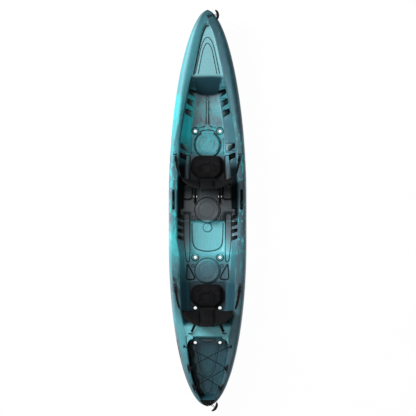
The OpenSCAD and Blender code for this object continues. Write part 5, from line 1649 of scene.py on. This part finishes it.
SENSOR_WIDTH = 36.0


class KAYAK_OT_stage(bpy.types.Operator):
    """Sets the pale floor, the soft studio light and the camera above"""

    bl_idname = "kayak.stage"
    bl_label = "Stage"

    def execute(self, context):
        look, scene = context.scene.kayak_stage, context.scene
        scene.view_settings.view_transform = "Standard"
        bpy.ops.mesh.primitive_plane_add(size=240)
        floor = context.object
        floor.name = "studio_floor"
        floor.location = (0, 0, -0.001)
        # Matte white paper that glows a little, so that shadows on it stay pale
        paper, tree, shader = surface("white_paper")
        drift = speckle(tree, object_place(tree), Scale=2.0)
        feed(tree, shader, {
            "Base Color": ramp(tree, drift, (0.3, linear("#3a3a3a")), (0.7, linear("#404040"))),
            "Roughness": 0.95, "Specular IOR Level": 0.0,
            "Emission Color": (1, 1, 1, 1), "Emission Strength": look.floor_glow})
        floor.data.materials.append(paper)
        lamps = (("key", look.key_power, (-5.4, 3.0, 4.6), (2.4, 5.0)),
                 ("fill", look.fill_power, (4.5, -1.5, 6.5), (5.0, 7.0)),
                 ("top", look.top_power, (0.0, 0.0, 8.0), (4.0, 6.0)))
        for name, power, at, size in lamps:
            lamp = bpy.data.lights.new(name, "AREA")
            lamp.shape, lamp.size, lamp.size_y, lamp.energy = "RECTANGLE", size[0], size[1], power
            held = bpy.data.objects.new(name, lamp)
            held.location = at
            held.rotation_euler = (Vector((0, 0, 0.15)) - Vector(at)).to_track_quat("-Z", "Y").to_euler()
            scene.collection.objects.link(held)
        world = bpy.data.worlds.new("studio")
        world.use_nodes = True
        world.node_tree.nodes["Background"].inputs["Color"].default_value = (1, 1, 1, 1)
        world.node_tree.nodes["Background"].inputs["Strength"].default_value = look.sky
        scene.world = world
        camera = bpy.data.cameras.new("above")
        camera.lens, camera.sensor_width = look.lens, SENSOR_WIDTH
        camera.dof.use_dof = False
        camera.clip_end = 200.0
        held = bpy.data.objects.new("above", camera)
        held.location = (0.004, 0.002, 0.25 + look.view_width / SENSOR_WIDTH * look.lens)
        scene.collection.objects.link(held)
        scene.camera = held
        return {"FINISHED"}


# Settings that a user would change
def length(name, description, default):
    return bpy.props.FloatProperty(name=name, description=description, default=default, unit="LENGTH", precision=4)


def colour(name, description, code):
    return bpy.props.FloatVectorProperty(
        name=name, description=description, default=linear(code), size=4, subtype="COLOR", min=0, max=1)


def share(name, description, default):
    return bpy.props.FloatProperty(
        name=name, description=description, default=default, subtype="FACTOR", min=0, max=1)


def glow(name, description, default):
    return bpy.props.FloatProperty(name=name, description=description, default=default, min=0)


def power(name, description, default):
    return bpy.props.FloatProperty(name=name, description=description, default=default, unit="POWER", min=0)


CUSHION_MESH = 0.006


class KAYAK_PG_hull(bpy.types.PropertyGroup):
    soften: length("Deck softness", "How far the deck's steps are rounded along the hull", 0.007)
    brace_soften: length("Brace softness", "How far the foot braces' edges are rounded", 0.0025)
    bright: colour("Bright streaks", "Cyan powder that ran through the other colours", "#45dce2")
    deep: colour("Deep streaks", "Slate powder that ran through the other colours", "#33454e")
    bright_share: share("Bright share", "Strength of the cyan streaks", 0.85)
    dark_share: share("Deep share", "Strength of the slate streaks", 0.6)


class KAYAK_PG_seats(bpy.types.PropertyGroup):
    voxel: length("Cushion mesh", "Size of the even mesh that the cushions are blown up from", CUSHION_MESH)
    cloth: colour("Cloth", "Face of the woven seat cloth", "#232325")
    cloth_deep: colour("Cloth shade", "Depth of the weave", "#151516")
    webbing: colour("Webbing", "Face of the straps", "#19191b")


class KAYAK_PG_stage(bpy.types.PropertyGroup):
    lens: bpy.props.FloatProperty(name="Lens", description="Focal length of the camera", default=200.0, unit="CAMERA")
    view_width: length("View width", "Width of the picture at the gunwale's height", 4.326)
    key_power: power("Key light", "Large soft light off the port bow", 620.0)
    fill_power: power("Fill light", "Weak light on the starboard side", 30.0)
    top_power: power("Top light", "Soft light from above", 90.0)
    floor_glow: glow("Floor glow", "Light of the paper itself", 0.97)
    sky: glow("Sky", "Light from all round", 0.12)


STEPS = (KAYAK_OT_hull, KAYAK_OT_mouldings, KAYAK_OT_seat_pads, KAYAK_OT_backrests, KAYAK_OT_straps, KAYAK_OT_handles,
         KAYAK_OT_lashing, KAYAK_OT_screws, KAYAK_OT_fittings, KAYAK_OT_stage)
GROUPS = {"kayak_hull": KAYAK_PG_hull, "kayak_seats": KAYAK_PG_seats, "kayak_stage": KAYAK_PG_stage}


class KAYAK_PT_parts(bpy.types.Panel):
    """Lists the kayak's settings and steps"""

    bl_label = "Tandem Kayak"
    bl_idname = "KAYAK_PT_parts"
    bl_space_type = "VIEW_3D"
    bl_region_type = "UI"
    bl_category = "Kayak"

    def draw(self, context):
        for group in GROUPS:
            box = self.layout.box()
            for name in getattr(context.scene, group).bl_rna.properties.keys():
                if name not in ("rna_type", "name"):
                    box.prop(getattr(context.scene, group), name)
        for step in STEPS:
            self.layout.operator(step.bl_idname)


def register():
    for kind in (*GROUPS.values(), *STEPS, KAYAK_PT_parts):
        bpy.utils.register_class(kind)
    for name, group in GROUPS.items():
        setattr(bpy.types.Scene, name, bpy.props.PointerProperty(type=group))


def unregister():
    for name in GROUPS:
        delattr(bpy.types.Scene, name)
    for kind in (KAYAK_PT_parts, *reversed(STEPS), *GROUPS.values()):
        bpy.utils.unregister_class(kind)


def main():
    register()
    bpy.ops.kayak.hull()
    bpy.ops.kayak.mouldings()
    bpy.ops.kayak.seat_pads()
    bpy.ops.kayak.backrests()
    bpy.ops.kayak.straps()
    bpy.ops.kayak.handles()
    bpy.ops.kayak.lashing()
    bpy.ops.kayak.screws()
    bpy.ops.kayak.fittings()
    bpy.ops.kayak.stage()


if __name__ == "__main__":
    main()
